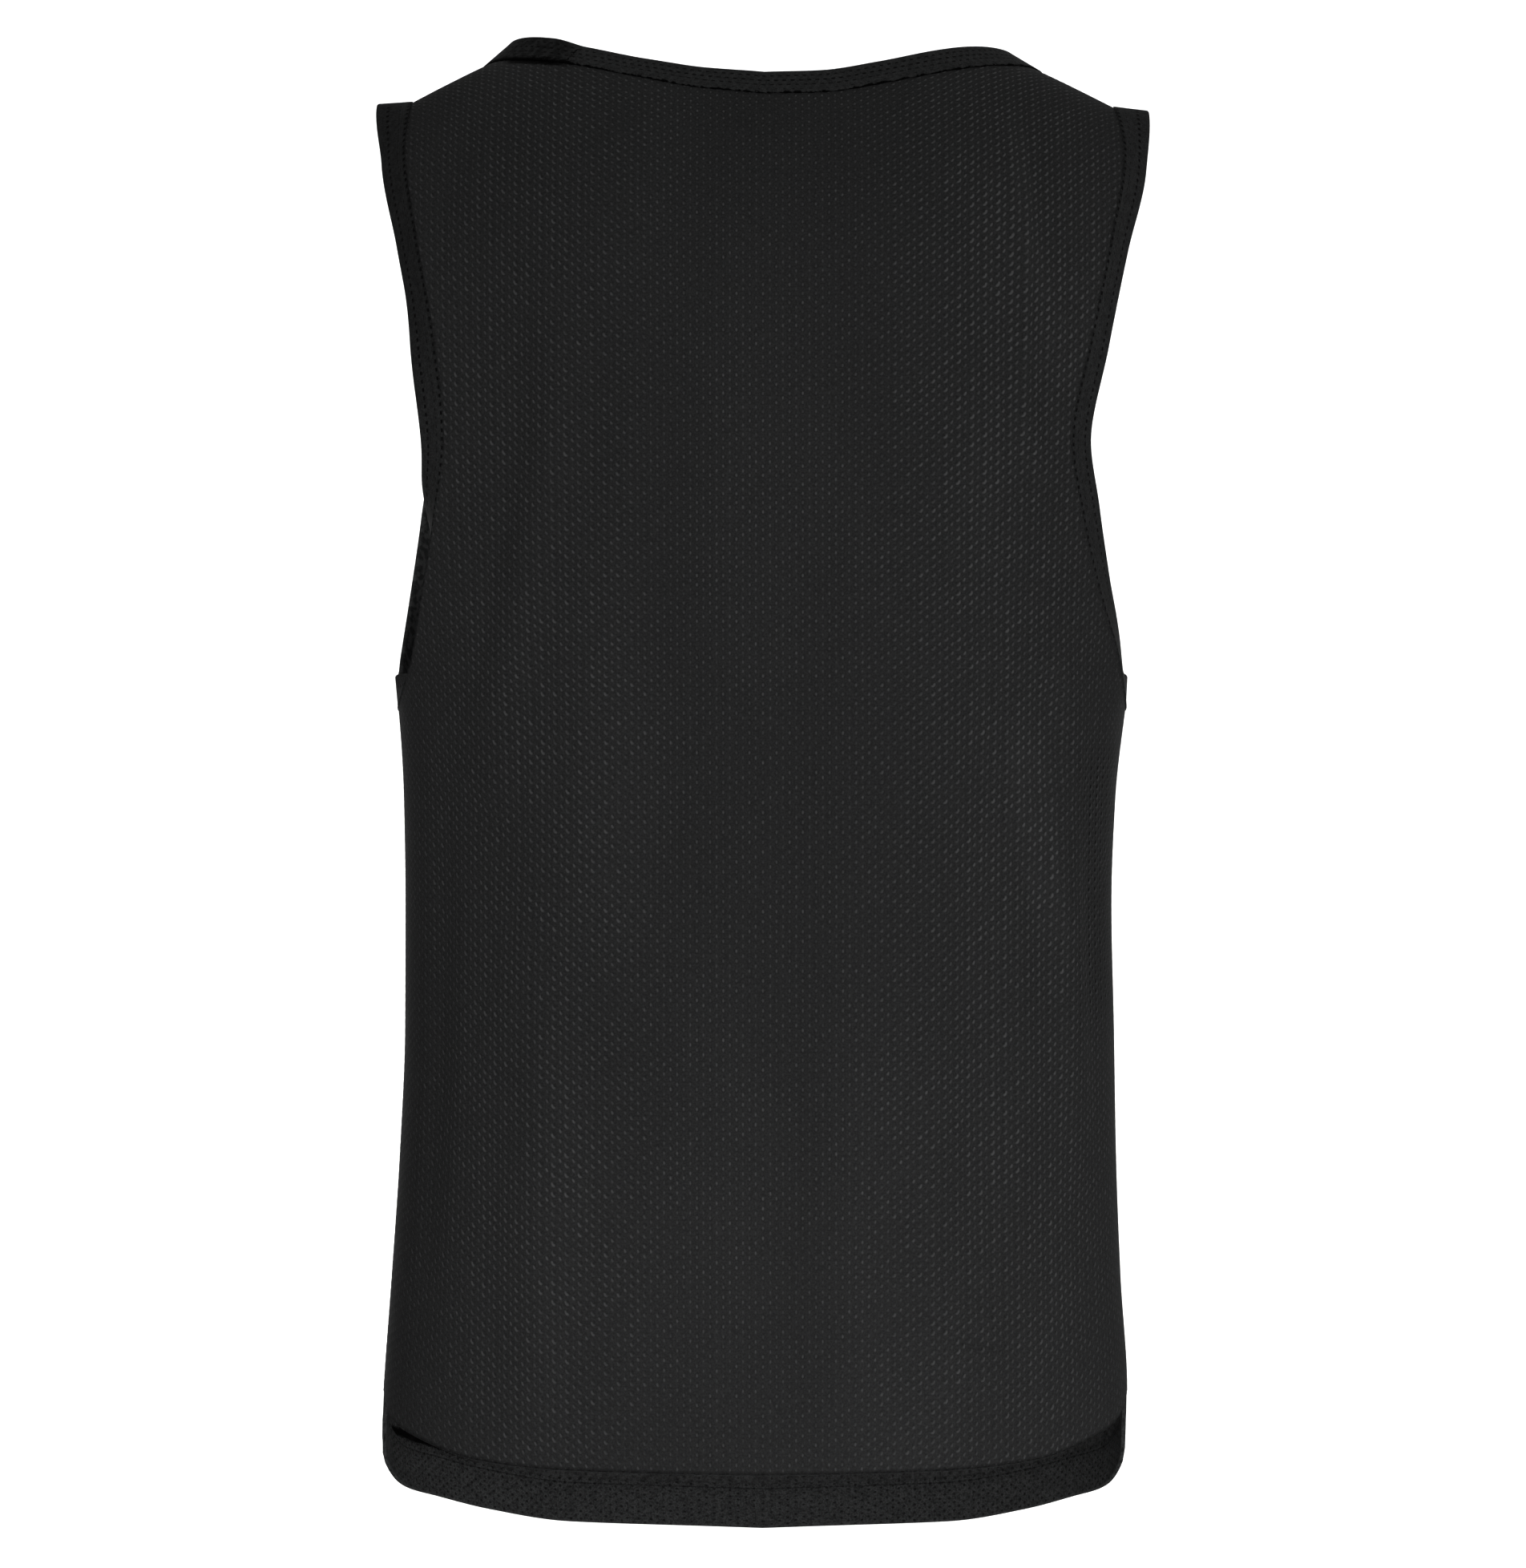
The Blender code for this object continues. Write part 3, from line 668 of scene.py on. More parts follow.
def thicken(mesh, number, inner):
    """Add a wall's inner face and close it at its edges."""
    copy = bmesh.ops.duplicate(mesh, geom=list(mesh.verts) + list(mesh.edges) + list(mesh.faces))
    inner_faces = [item for item in copy["geom"] if isinstance(item, bmesh.types.BMFace)]
    for item in copy["geom"]:
        if isinstance(item, bmesh.types.BMVert):
            item.co = inner[item[number]]
    for face in inner_faces:
        if face.material_index == OUTSIDE:
            face.material_index = INSIDE
    bmesh.ops.reverse_faces(mesh, faces=inner_faces)
    loops = boundary_loops(mesh)
    if len(loops) != 2:
        raise RuntimeError(f"a panel's net has {len(loops)} edges in place of 2")
    for edge in loops[0] + loops[1]:
        edge.smooth = False
    return bmesh.ops.bridge_loops(mesh, edges=loops[0] + loops[1])["faces"]


def make_panel(side, settings, materials):
    """A panel from the net of its own holes: each hole is a hollow in the wall."""
    chart = make_chart(side)
    columns, heights = net_lines(chart)
    mesh, column, row = flat_net(columns, heights)
    u, v = columns[column], heights[row]
    across, rise, inside = fit_to_edges(mesh, chart, u, v)
    step_u, step_v = COURSE_REPEAT / 2, WALE_REPEAT / 2
    even = (np.rint(u / step_u) + np.rint(v / step_v)) % 2 == 0
    on_net = np.abs(v / step_v - np.rint(v / step_v)) < 1e-6
    sunk = np.where(even & on_net & inside, settings.dimple, 0.0)
    outer, inner = wall_faces(side, settings, across, rise, v, sunk)
    (u_true, _, _), (v_true, _, _) = look_up(chart, (across + 1) / 2 * (CHART_COLUMNS - 1),
                                             rise / 2 * (CHART_ROWS - 1))
    places = np.stack((u_true, np.where(v < 0, v, v_true)), axis=-1)

    outside = [face for face in mesh.faces if not any(inside[v.index] for v in face.verts)]
    number = mesh.verts.layers.int.new("number")
    for vertex in mesh.verts:
        vertex[number] = vertex.index
        vertex.co = outer[vertex.index]
    bmesh.ops.delete(mesh, geom=outside, context="FACES")
    drop_strays(mesh, min(mesh.faces, key=lambda face: abs(across[face.verts[0][number]])
                          + abs(rise[face.verts[0][number]] - 1)))
    for face in mesh.faces:
        turned_up = max(heights[row[vertex[number]]] for vertex in face.verts) <= 0
        face.material_index = TURNED_UP if turned_up else OUTSIDE
    for face in thicken(mesh, number, inner):
        if any(v[vertex[number]] < -HEM_HEIGHT / 2 for vertex in face.verts):
            face.material_index = TURNED_UP
    bmesh.ops.dissolve_degenerate(mesh, edges=mesh.edges, dist=1e-5)
    bmesh.ops.recalc_face_normals(mesh, faces=mesh.faces)
    numbers = np.array([vertex[number] for vertex in mesh.verts])
    mesh.verts.layers.int.remove(number)
    piece = finish_piece(f"{side}_cloth", mesh, places[numbers], materials)
    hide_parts(f"{side}_panel")
    width = 2 * np.abs(chart[0]).max()
    length = chart[1].max() + HEM_HEIGHT
    area = sum(face.area for face in piece.data.polygons) / 2
    return piece


# ---------------------------------------------------------------- bands
def neck_ring():
    """Points and normals round the neck, from the middle of the back by the right hand."""
    quarter = np.linspace(0, NECK_COLUMN, RING_POINTS // 4 + 1)
    shares = np.concatenate((quarter, quarter[-2::-1], -quarter[1:], -quarter[-2:0:-1]))
    backs = np.zeros(len(shares), bool)
    backs[:len(quarter)] = True
    backs[-(len(quarter) - 2):] = True
    return ring_of(shares, np.full(len(shares), 2.0), backs, np.abs(shares) > NECK_COLUMN - 1e-9)


def armhole_ring(sign):
    """Points and normals round an armhole, from the underarm up the back."""
    half = np.linspace(0, 1, RING_POINTS // 2 + 1)
    ups = np.concatenate((half, half[-2:0:-1]))
    backs = np.arange(len(ups)) <= len(half) - 1
    seams = (ups < 1e-9) | (ups > 1 - 1e-9)
    return ring_of(np.full(len(ups), float(sign)), 1 + ups, backs, seams)


def ring_of(shares, rises, backs, seams):
    back, back_normals = panel_point("back", shares, rises, creased=False)
    front, front_normals = panel_point("front", shares, rises, creased=False)
    points = np.where(backs[:, None], back, front)
    normals = np.where(backs[:, None], back_normals, front_normals)
    points = np.where(seams[:, None], (back + front) / 2, points)
    normals = np.where(seams[:, None], unit(back_normals + front_normals), normals)
    return points, normals


def even_out(vectors, run, girth):
    away = np.abs(run[:, None] - run[None, :])
    away = np.minimum(away, 1 - away) * girth
    return unit(np.exp(-(away / BAND_SMOOTHING) ** 2) @ vectors)


def resample(points, normals, step):
    """Space a ring's points evenly."""
    closed = np.vstack((points, points[:1]))
    lengths = np.linalg.norm(np.diff(closed, axis=0), axis=1)
    run = np.concatenate(([0], np.cumsum(lengths)))
    count = 4 * round(run[-1] / step / 4)
    at = np.arange(count) / count * run[-1]
    closed_normals = np.vstack((normals, normals[:1]))
    points = np.stack([np.interp(at, run, closed[:, k]) for k in range(3)], axis=-1)
    normals = np.stack([np.interp(at, run, closed_normals[:, k]) for k in range(3)], axis=-1)
    return points, unit(normals), run[-1]


def band_section(width, wall):
    """A folded band's section: (out, over) places round it, and the length of cloth to each."""
    half = wall / 2
    edge = np.linspace(math.pi / 2, -math.pi / 2, BAND_EDGE_STEPS + 2)
    face = np.linspace(0, width - half, BAND_FACE_STEPS + 1)
    outs = np.concatenate((face[:-1], width - half + half * np.cos(edge), face[-2::-1]))
    overs = np.concatenate((np.full(len(face) - 1, half), half * np.sin(edge),
                            np.full(len(face) - 1, -half)))
    run = np.concatenate(([0], np.cumsum(np.hypot(np.diff(outs), np.diff(overs)))))
    return outs, overs, run


def band_ways(points, normals, girth, into_opening, lean_table):
    """Directions along a ring: into the opening, out along the band, and out of its face."""
    run = np.arange(len(points)) / len(points)
    along = np.roll(points, -1, axis=0) - np.roll(points, 1, axis=0)
    inwards = even_out(unit(np.cross(along, normals) * into_opening), run, girth)
    smooth = even_out(normals, run, girth)
    smooth = unit(smooth - inwards * (smooth * inwards).sum(-1, keepdims=True))
    lean = np.radians(read(lean_table, "lean", 360 * run))[:, None]
    return (inwards, inwards * np.cos(lean) + smooth * np.sin(lean),
            smooth * np.cos(lean) - inwards * np.sin(lean))


def make_band(name, ring, into_opening, lean_table, width, materials, node):
    """A strip of mesh folded in two and sewn round an opening."""
    points, normals, girth = resample(*ring, BAND_STEP)
    inwards, out, over = band_ways(points, normals, girth, into_opening, lean_table)
    more, past_seam, reach = SEAM_END_LAP if node == "neck_band" else (0.0, 0.0, 1.0)
    lap = BAND_LAP + more * np.exp(-((points[:, 1:2] - past_seam) / reach) ** 2)
    root = points - normals * WALL / 2 - inwards * lap
    outs, overs, cloth = band_section(width + BAND_LAP, BAND_WALL)
    drawn = (width + lap) / (width + BAND_LAP)

    mesh = bmesh.new()
    count, around = len(points), len(outs)
    bmesh.ops.create_grid(mesh, x_segments=count, y_segments=around, size=1.0)
    number = mesh.verts.layers.int.new("number")
    ids = []
    for vertex in mesh.verts:
        column = round((vertex.co.x + 1) / 2 * count)
        row = round((vertex.co.y + 1) / 2 * around)
        ids.append((column, row))
        vertex[number] = len(ids) - 1
        c, r = column % count, row % around
        vertex.co = root[c] + out[c] * outs[r] * drawn[c] + over[c] * overs[r]
    ids = np.array(ids)
    layer = mesh.loops.layers.uv.new("cloth")
    even_girth = round(girth / BAND_HOLE_PITCH) * BAND_HOLE_PITCH
    for face in mesh.faces:
        closing = min(ids[vertex[number]][1] for vertex in face.verts) == around - 1
        for corner in face.loops:
            column, row = ids[corner.vert[number]]
            across = -BAND_WALL * (around - row) if closing else cloth[row]
            corner[layer].uv = (across, column / count * even_girth)
    bmesh.ops.remove_doubles(mesh, verts=mesh.verts, dist=1e-6)
    bmesh.ops.recalc_face_normals(mesh, faces=mesh.faces)
    mesh.verts.layers.int.remove(number)
    piece = finish_piece(name, mesh, None, materials)
    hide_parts(node)
    return piece


# ---------------------------------------------------------------- materials
BLACK = (0.0005, 0.0005, 0.0005, 1.0)
RIDGE_COLOUR = (0.030, 0.031, 0.031, 1.0)
HOLE_SIZES = ((0.00112, 0.00128, 1.0), (0.00068, 0.00098, 1.0))   # of the two sets of holes
INNER_HOLE_SIZES = ((0.00100, 0.00100, 1.0), (0.00095, 0.00095, 1.0))
HEM_HOLE_SIZES = ((0.00105, 0.00090, 1.0), (0.00100, 0.00085, 1.0))


class Signal:
    """A node's output. Sums and products of signals place Math nodes."""

    def __init__(self, nodes, socket):
        self.nodes = nodes
        self.socket = socket

    def __getitem__(self, output):
        return Signal(self.nodes, self.socket.node.outputs[output])

    def __add__(self, other):
        return self.nodes.math("ADD", self, other)

    def __sub__(self, other):
        return self.nodes.math("SUBTRACT", self, other)

    def __rsub__(self, other):
        return self.nodes.math("SUBTRACT", other, self)

    def __mul__(self, other):
        return self.nodes.math("MULTIPLY", self, other)

    def __truediv__(self, other):
        return self.nodes.math("DIVIDE", self, other)

    def __abs__(self):
        return self.nodes.math("ABSOLUTE", self)

    def ramp(self, low, high, start=0.0, end=1.0):
        """A smooth step from start to end as the signal goes from low to high."""
        return self.nodes.add("ShaderNodeMapRange",
                              {"Value": self, "From Min": low, "From Max": high,
                               "To Min": start, "To Max": end}, interpolation_type="SMOOTHSTEP")

    def mix(self, start, end):
        return self.nodes.add("ShaderNodeMix", {0: self, 2: start, 3: end})

    def tint(self, colour, other):
        """A colour that goes over to the other where the signal is high."""
        return self.nodes.add("ShaderNodeMix", {0: self, 6: colour, 7: other}, 2,
                              data_type="RGBA")


class Nodes:
    """Places nodes in a tree and wires them by name."""

    def __init__(self, tree):
        self.tree = tree
        tree.nodes.clear()

    def add(self, kind, inputs=None, output=0, **settings):
        node = self.tree.nodes.new(kind)
        for key, value in settings.items():
            setattr(node, key, value)
        for key, value in (inputs or {}).items():
            if isinstance(value, Signal):
                self.tree.links.new(value.socket, node.inputs[key])
            else:
                node.inputs[key].default_value = value
        return Signal(self, node.outputs[output]) if node.outputs else None

    def math(self, operation, *values):
        return self.add("ShaderNodeMath", dict(enumerate(values)), operation=operation)

    def vector(self, operation, *values, output="Vector"):
        return self.add("ShaderNodeVectorMath", dict(enumerate(values)), output,
                        operation=operation)

    def combine(self, *values):
        return self.add("ShaderNodeCombineXYZ", dict(enumerate(values)))


def new_group(name, **inputs):
    """A shader node group with named sockets, of which the inputs give the defaults."""
    nodes = Nodes(bpy.data.node_groups.new(name, "ShaderNodeTree"))
    for label, default in inputs.items():
        kind = "NodeSocketVector" if isinstance(default, tuple) else "NodeSocketFloat"
        socket = nodes.tree.interface.new_socket(label, in_out="INPUT", socket_type=kind)
        socket.default_value = default
    return nodes, nodes.add("NodeGroupInput")


def put_out(nodes, **results):
    for label in results:
        nodes.tree.interface.new_socket(label, in_out="OUTPUT", socket_type="NodeSocketFloat")
    nodes.add("NodeGroupOutput", results)
    return nodes.tree


def hole_set_group():
    """One of the mesh's two staggered sets of holes: masks of the lit lip, the bore and the dark
    side, which the materials paint as highlight and shade.
    """
    nodes, given = new_group("hole_set", Place=(0.0, 0.0, 0.0), Offset=0.0, Side=0.0,
                             Size=HOLE_SIZES[0], Spread=0.15, Thickness=0.6)
    repeat = (COURSE_REPEAT, WALE_REPEAT, 1.0)
    cell = nodes.vector("ADD", nodes.vector("DIVIDE", given["Place"], repeat),
                        nodes.combine(given["Offset"], given["Offset"]))
    centred = nodes.vector("SUBTRACT", nodes.vector("FRACTION", cell), (0.5, 0.5, 0.0))
    near = nodes.vector("MULTIPLY", centred, repeat)
    pick = nodes.add("ShaderNodeTexWhiteNoise", {"Vector": nodes.vector("FLOOR", cell)}, "Value",
                     noise_dimensions="3D")
    aside = abs(given["Side"])
    width = nodes.combine(aside * (1 - SPOT_WIDTH) + SPOT_WIDTH, 1.0, 1.0)
    size = nodes.vector("MULTIPLY", given["Size"], width)
    away = nodes.vector("LENGTH", nodes.vector("DIVIDE", near, size), output="Value")
    turn = given["Side"] * LIP_TURN
    lip_way = nodes.combine(nodes.math("SINE", turn), nodes.math("COSINE", turn) * -1.0)
    towards = nodes.vector("DOT_PRODUCT", nodes.vector("NORMALIZE", near), lip_way, output="Value")
    arc = abs(away - 1.0).ramp(given["Thickness"], 0.12) * towards.ramp(given["Spread"], 0.90)
    lower = nodes.vector("MULTIPLY", lip_way, (DROP_REACH, DROP_REACH, 0.0))
    below = nodes.vector("DIVIDE", nodes.vector("SUBTRACT", near, lower), DROP_SIZE)
    drop = nodes.vector("LENGTH", below, output="Value").ramp(1.35, 0.20)
    return put_out(nodes,
                   Lip=aside.ramp(0.25, 0.95).mix(drop, arc) * pick.ramp(0.0, 1.0, 0.50, 1.0),
                   Bore=away.ramp(1.05, 0.55) * pick.ramp(0.0, 0.5, 0.6, 1.0),
                   Shade=abs(away - 1.45).ramp(0.35, 0.05) * towards.ramp(0.1, 0.9))


def knit_group(hole_set):
    """Masks and height of the mesh: bores, the lit lips beside them and the shade round those."""
    nodes, given = new_group("knitted_mesh", Place=(0.0, 0.0, 0.0), Side=0.0,
                             Size=HOLE_SIZES[0], Small=HOLE_SIZES[1])
    holes, small_holes = (
        nodes.add("ShaderNodeGroup",
                  {"Place": given["Place"], "Offset": offset, "Side": given["Side"],
                   "Size": given[size], "Spread": spread, "Thickness": thickness},
                  node_tree=hole_set)
        for offset, size, spread, thickness in ((0.5, "Size", 0.10, 0.70),
                                                (0.0, "Small", 0.20, 0.95)))
    glint, bore, shade = (nodes.math("MAXIMUM", holes[label], small_holes[label])
                          for label in ("Lip", "Bore", "Shade"))
    return put_out(nodes, Glint=glint, Bore=bore, Shade=shade, Height=glint * 0.6 - bore)


def stitch_row_group():
    """A row of stitching at one height on the cloth: its ditch, and the holes along it."""
    nodes, given = new_group("stitch_row", Across=0.0, Along=0.0, At=0.0, Width=0.0005,
                             Pitch=0.0036, Length=0.22)
    ditch = (abs(given["Across"] - given["At"]) / given["Width"]).ramp(1.5, 0.5)
    from_middle = abs(nodes.math("FRACT", given["Along"] / given["Pitch"]) - 0.5)
    return put_out(nodes, Ditch=ditch,
                   Notch=ditch * (from_middle / given["Length"]).ramp(1.4, 0.6))


def unevenness_group():
    """Unevenness of cloth that has been worn and packed: broad, mottled and down to fibres."""
    nodes, _ = new_group("cloth_unevenness")
    place = nodes.add("ShaderNodeTexCoord", output="Object")
    lengthways = nodes.vector("MULTIPLY", place, (1.0, 1.0, 0.4))
    soft, mottle, fine = (
        nodes.add("ShaderNodeTexNoise", {"Vector": at, "Scale": scale, "Detail": detail,
                                         "Roughness": 0.55}, "Fac")
        for at, scale, detail in ((lengthways, 14.0, 1.0), (place, 330.0, 2.0),
                                  (place, 1200.0, 1.0)))
    return put_out(nodes, Soft=soft, Mottle=mottle, Fine=fine)


class Cloth(Nodes):
    """A material of the bib, with its places, its knit and its unevenness laid out."""

    def __init__(self, name, groups, net="cloth", sizes=HOLE_SIZES):
        self.material = bpy.data.materials.new(name)
        self.material.use_nodes = True
        super().__init__(self.material.node_tree)
        self.groups = groups
        place = self.add("ShaderNodeUVMap", uv_map="cloth")
        here = self.add("ShaderNodeSeparateXYZ",
                        {0: self.add("ShaderNodeTexCoord", output="Object")})
        self.x, self.y, self.z = here[0], here[1], here[2]
        side = self.add("ShaderNodeMapRange", {"Value": self.x, "From Min": -LIP_REACH,
                                               "From Max": LIP_REACH, "To Min": -1.0})
        self.knit = self.add("ShaderNodeGroup",
                             {"Place": self.add("ShaderNodeUVMap", uv_map=net), "Side": side,
                              "Size": sizes[0], "Small": sizes[1]}, node_tree=groups["knit"])
        self.uneven = self.add("ShaderNodeGroup", node_tree=groups["uneven"])
        parts = self.add("ShaderNodeSeparateXYZ", {0: place})
        self.u, self.v = parts[0], parts[1]
        self.back = self.math("LESS_THAN", self.y, 0.0)

    def uneven_ramp(self, label, *limits):
        return self.uneven[label].ramp(*limits)

    def shaded(self, colour, shade):
        return self.add("ShaderNodeVectorMath", {0: colour[:3], "Scale": shade},
                        operation="SCALE")

    def row(self, across, at, width, along=0.0, pitch=0.0036, length=0.22):
        return self.add("ShaderNodeGroup",
                        {"Across": across, "Along": along, "At": at, "Width": width,
                         "Pitch": pitch, "Length": length}, node_tree=self.groups["row"])

    def line_mask(self, start, end, half_width, ragged=0.0):
        """A mask along a straight line, given by two (x, z), that runs out at its end."""
        run_x, run_z = end[0] - start[0], end[1] - start[1]
        length = math.hypot(run_x, run_z)
        flat = self.vector("SUBTRACT", self.combine(self.x, self.z), (*start, 0.0))
        along, away = (self.vector("DOT_PRODUCT", flat, (x / length, z / length, 0.0),
                                   output="Value") for x, z in ((run_x, run_z), (-run_z, run_x)))
        ends = (along.ramp(-half_width * 2, half_width * 2)
                * along.ramp(length + half_width * 4, length * 0.7))
        return ends * (abs(away) + ragged).ramp(half_width * 1.4, half_width * 0.6)

    def finish(self, colour, height, strength, roughness):
        bump = self.add("ShaderNodeBump", {"Height": height, "Strength": strength,
                                           "Distance": BUMP_DEPTH})
        shader = self.add("ShaderNodeBsdfPrincipled",
                          {"Base Color": colour, "Normal": bump, "Roughness": roughness,
                           "Specular IOR Level": SPECULAR})
        self.add("ShaderNodeOutputMaterial", {"Surface": shader})
        return self.material


def outer_mesh_material(groups, thread, glint, pit_shade):
    """The mesh from outside, with a painted highlight on the lower lip of each hole."""
    cloth = Cloth("mesh_outside", groups)
    x, z, knit, uneven = cloth.x, cloth.z, cloth.knit, cloth.uneven_ramp
    # Painted shade by the hem's fold, which also dims the lit lips there.
    fold = cloth.v.ramp(-0.0006, FOLD_SHADE, 0.50, 1.0)
    # Painted shade: darker towards the left side, and round and in each hole.
    left_side = x.ramp(-0.10, -0.15) * cloth.y.ramp(-0.060, -0.010)
    hollow = cloth.math("MAXIMUM", knit["Shade"] * 0.25, knit["Bore"] * 0.16)
    tone = uneven("Fine", 0.32, 0.68, 0.80, 1.20) * uneven("Soft", 0.3, 0.7, 0.95, 1.05)
    tone = tone * (1.0 - left_side * 0.30) * (1.0 - hollow) * fold
    colour = cloth.shaded(thread, tone)
    # Painted shade in the holes near the right side seam.
    x_from, x_to, z_a, z_b, z_c, z_d = OPEN_HOLES
    open_here = z.ramp(z_a, z_b) * z.ramp(z_d, z_c) * x.ramp(x_from, x_to)
    colour = (knit["Bore"] * open_here).tint(colour, pit_shade)
    # Painted highlight: the lit lips are stronger at the top right, vary at random, and dim
    # towards the sides, the bottom and the fold.
    right = x.ramp(0.02, 0.13) * z.ramp(-0.36, -0.10)
    lit = uneven("Soft", 0.35, 0.65, 0.80, 1.05) + right * 0.45
    dim = abs(x).ramp(*DRAW_IN, 1.0, 0.55) * uneven("Mottle", 0.36, 0.62, 0.72, 1.15)
    lit = lit * z.ramp(*LOW_DIM, 0.80, 1.0) * dim * fold
    # Painted highlight along the streaks, in the lit lips and in the colour.
    for start, end, half_width in HIGHLIGHT_STREAKS:
        highlight_streak = cloth.line_mask(start, end, half_width) * cloth.back
        lit = highlight_streak * uneven("Mottle", 0.4, 0.7, 0.0, 0.8) + lit
        colour = (highlight_streak * 0.05).tint(colour, glint)
    # Painted highlight on the lower lip of each hole.
    colour = (knit["Glint"] * lit).tint(colour, glint)
    # Painted black shadow in the gap under the left end of the neck band.
    gap = cloth.line_mask(*NECK_GAP_SHADOW, uneven("Fine", 0.3, 0.7, -0.0003, 0.0003))
    colour = (gap * cloth.back).tint(colour, BLACK)
    return cloth.finish(colour, knit["Height"], 0.20, 0.74)


def inner_mesh_material(groups, thread, pit_shade):
    """The mesh from inside: dull and mottled, with holes, and painted black shadow in the gap
    between the hems.
    """
    cloth = Cloth("mesh_inside", groups, "drawn_cloth", INNER_HOLE_SIZES)
    bore, uneven = cloth.knit["Bore"], cloth.uneven_ramp
    mottled = uneven("Mottle", 0.35, 0.65, 1.00, 1.60) * uneven("Fine", 0.32, 0.68, 0.75, 1.25)
    # Painted shade in the holes.
    colour = (bore * 0.55).tint(cloth.shaded(thread, mottled), pit_shade)
    ragged = uneven("Fine", 0.3, 0.7, -0.0004, 0.0004)
    # Painted black shadow in the gaps between the hems.
    for gap in HEM_GAP_SHADOWS:
        colour = cloth.line_mask(*gap, ragged).tint(colour, BLACK)
    return cloth.finish(colour, bore * -1.0, 0.2, 0.82)


def hem_material(groups, thread, pit_shade):
    """The turned-up hem: doubled mesh with painted shade in its holes, sewn down by one row of
    stitching.
    """
    cloth = Cloth("turned_up_hem", groups, "drawn_cloth", HEM_HOLE_SIZES)
    bore, uneven = cloth.knit["Bore"], cloth.uneven_ramp
    mottled = uneven("Mottle", 0.33, 0.67, 1.20, 1.66) * uneven("Fine", 0.32, 0.68, 0.66, 1.40)
    # Painted shade on the back's turned-up hem, darker towards the fold.
    fold = cloth.back.mix(1.0, cloth.v.ramp(-FOLD_SHADE * 2, 0.0, 1.0, 0.35))
    # Painted shade in the holes of the doubled mesh.
    colour = (bore * 0.72).tint(cloth.shaded(thread, mottled * fold), pit_shade)
    # Painted shade in the stitching's ditch and its needle holes.
    row = cloth.row(cloth.v, HEM_STITCH_PLACE, 0.00028, cloth.u, 0.0030)
    colour = (row["Ditch"] * 0.30 + row["Notch"] * 0.35).tint(colour, pit_shade)
    return cloth.finish(colour, (row["Ditch"] * 0.4 + bore) * -1.0, 0.3, 0.8)


def band_material(groups, place, thread, pit_shade):
    """The mesh folded double: rows of holes with painted shade in them, ridges of stitching, and a
    ditch at the seam with painted shadow in it.
    """
    cloth = Cloth(f"folded_{place}_band", groups)
    x, z, uneven, width = cloth.x, cloth.z, cloth.uneven_ramp, BAND_WIDTHS[place]
    patches = uneven("Mottle", 0.42, 0.60, 0.45, 1.00)
    join = 0.0
    if place == "neck":
        join = x.ramp(-0.086, -0.098) * z.ramp(-0.060, -0.045)
    else:
        low_left = x.ramp(-0.10, -0.15) * z.ramp(-0.18, -0.22)
        patches = patches * (low_left * z.ramp(*PALE_INSIDE, 1.6, 3.4) + 1.2)
    fibre = uneven("Mottle", 0.33, 0.67, 0.84, 1.16) * uneven("Fine", 0.32, 0.68, 0.74, 1.26)
    inside = cloth.u.ramp(width + 0.0010, width + 0.0030)
    tone = cloth.math("MAXIMUM", inside, join * 0.85).mix(fibre, patches)
    # Painted shade: darker towards the top left, and on the neck band by its join.
    top_left_shade = x.ramp(-0.100, -0.160) * z.ramp(-0.200, -0.100)
    darker = BAND_TONE[place] - cloth.math("MAXIMUM", top_left_shade, join) * 0.28
    colour = cloth.shaded(thread, tone * darker)
    height = 0.0
    shown = uneven("Mottle", 0.30, 0.50, 0.60, 1.0)
    # Painted shade in the rows of holes.
    for dots in BAND_DOTS[place]:
        row = cloth.row(cloth.u, dots.at, dots.half_width, cloth.v + dots.shift * BAND_HOLE_PITCH,
                        BAND_HOLE_PITCH, dots.length)
        hole = row["Notch"] * shown
        colour = (hole * dots.strength).tint(colour, pit_shade)
        height = height - hole
    for at, light in STITCH_RIDGES:
        ridge = cloth.row(cloth.u, at, 0.00018)["Ditch"]
        colour = (ridge * light).tint(colour, RIDGE_COLOUR)
        height = height + ridge * light
    # Painted black shadow in the ditch at the seam, wider by the neck band's join.
    rough = uneven("Mottle", 0.35, 0.65, -0.0007, 0.0007)
    ditch = cloth.row(cloth.u + rough, -0.0009, join * 0.0016 + 0.0011)["Ditch"]
    colour = (ditch * BAND_DITCH[place]).tint(colour, BLACK)
    if place == "neck":
        seam = cloth.line_mask(*BAND_JOIN, uneven("Fine", 0.3, 0.7, -0.0002, 0.0006))
        colour = (seam * cloth.back).tint(colour, BLACK)
    return cloth.finish(colour, height - ditch, 0.45, 0.78)


def rgba(colour):
    return (*colour, 1.0)


def groups_for_cloth():
    found = bpy.data.node_groups
    if "hole_set" not in found:
        knit_group(hole_set_group())
        stitch_row_group()
        unevenness_group()
    return {"knit": found["knitted_mesh"], "row": found["stitch_row"],
            "uneven": found["cloth_unevenness"]}


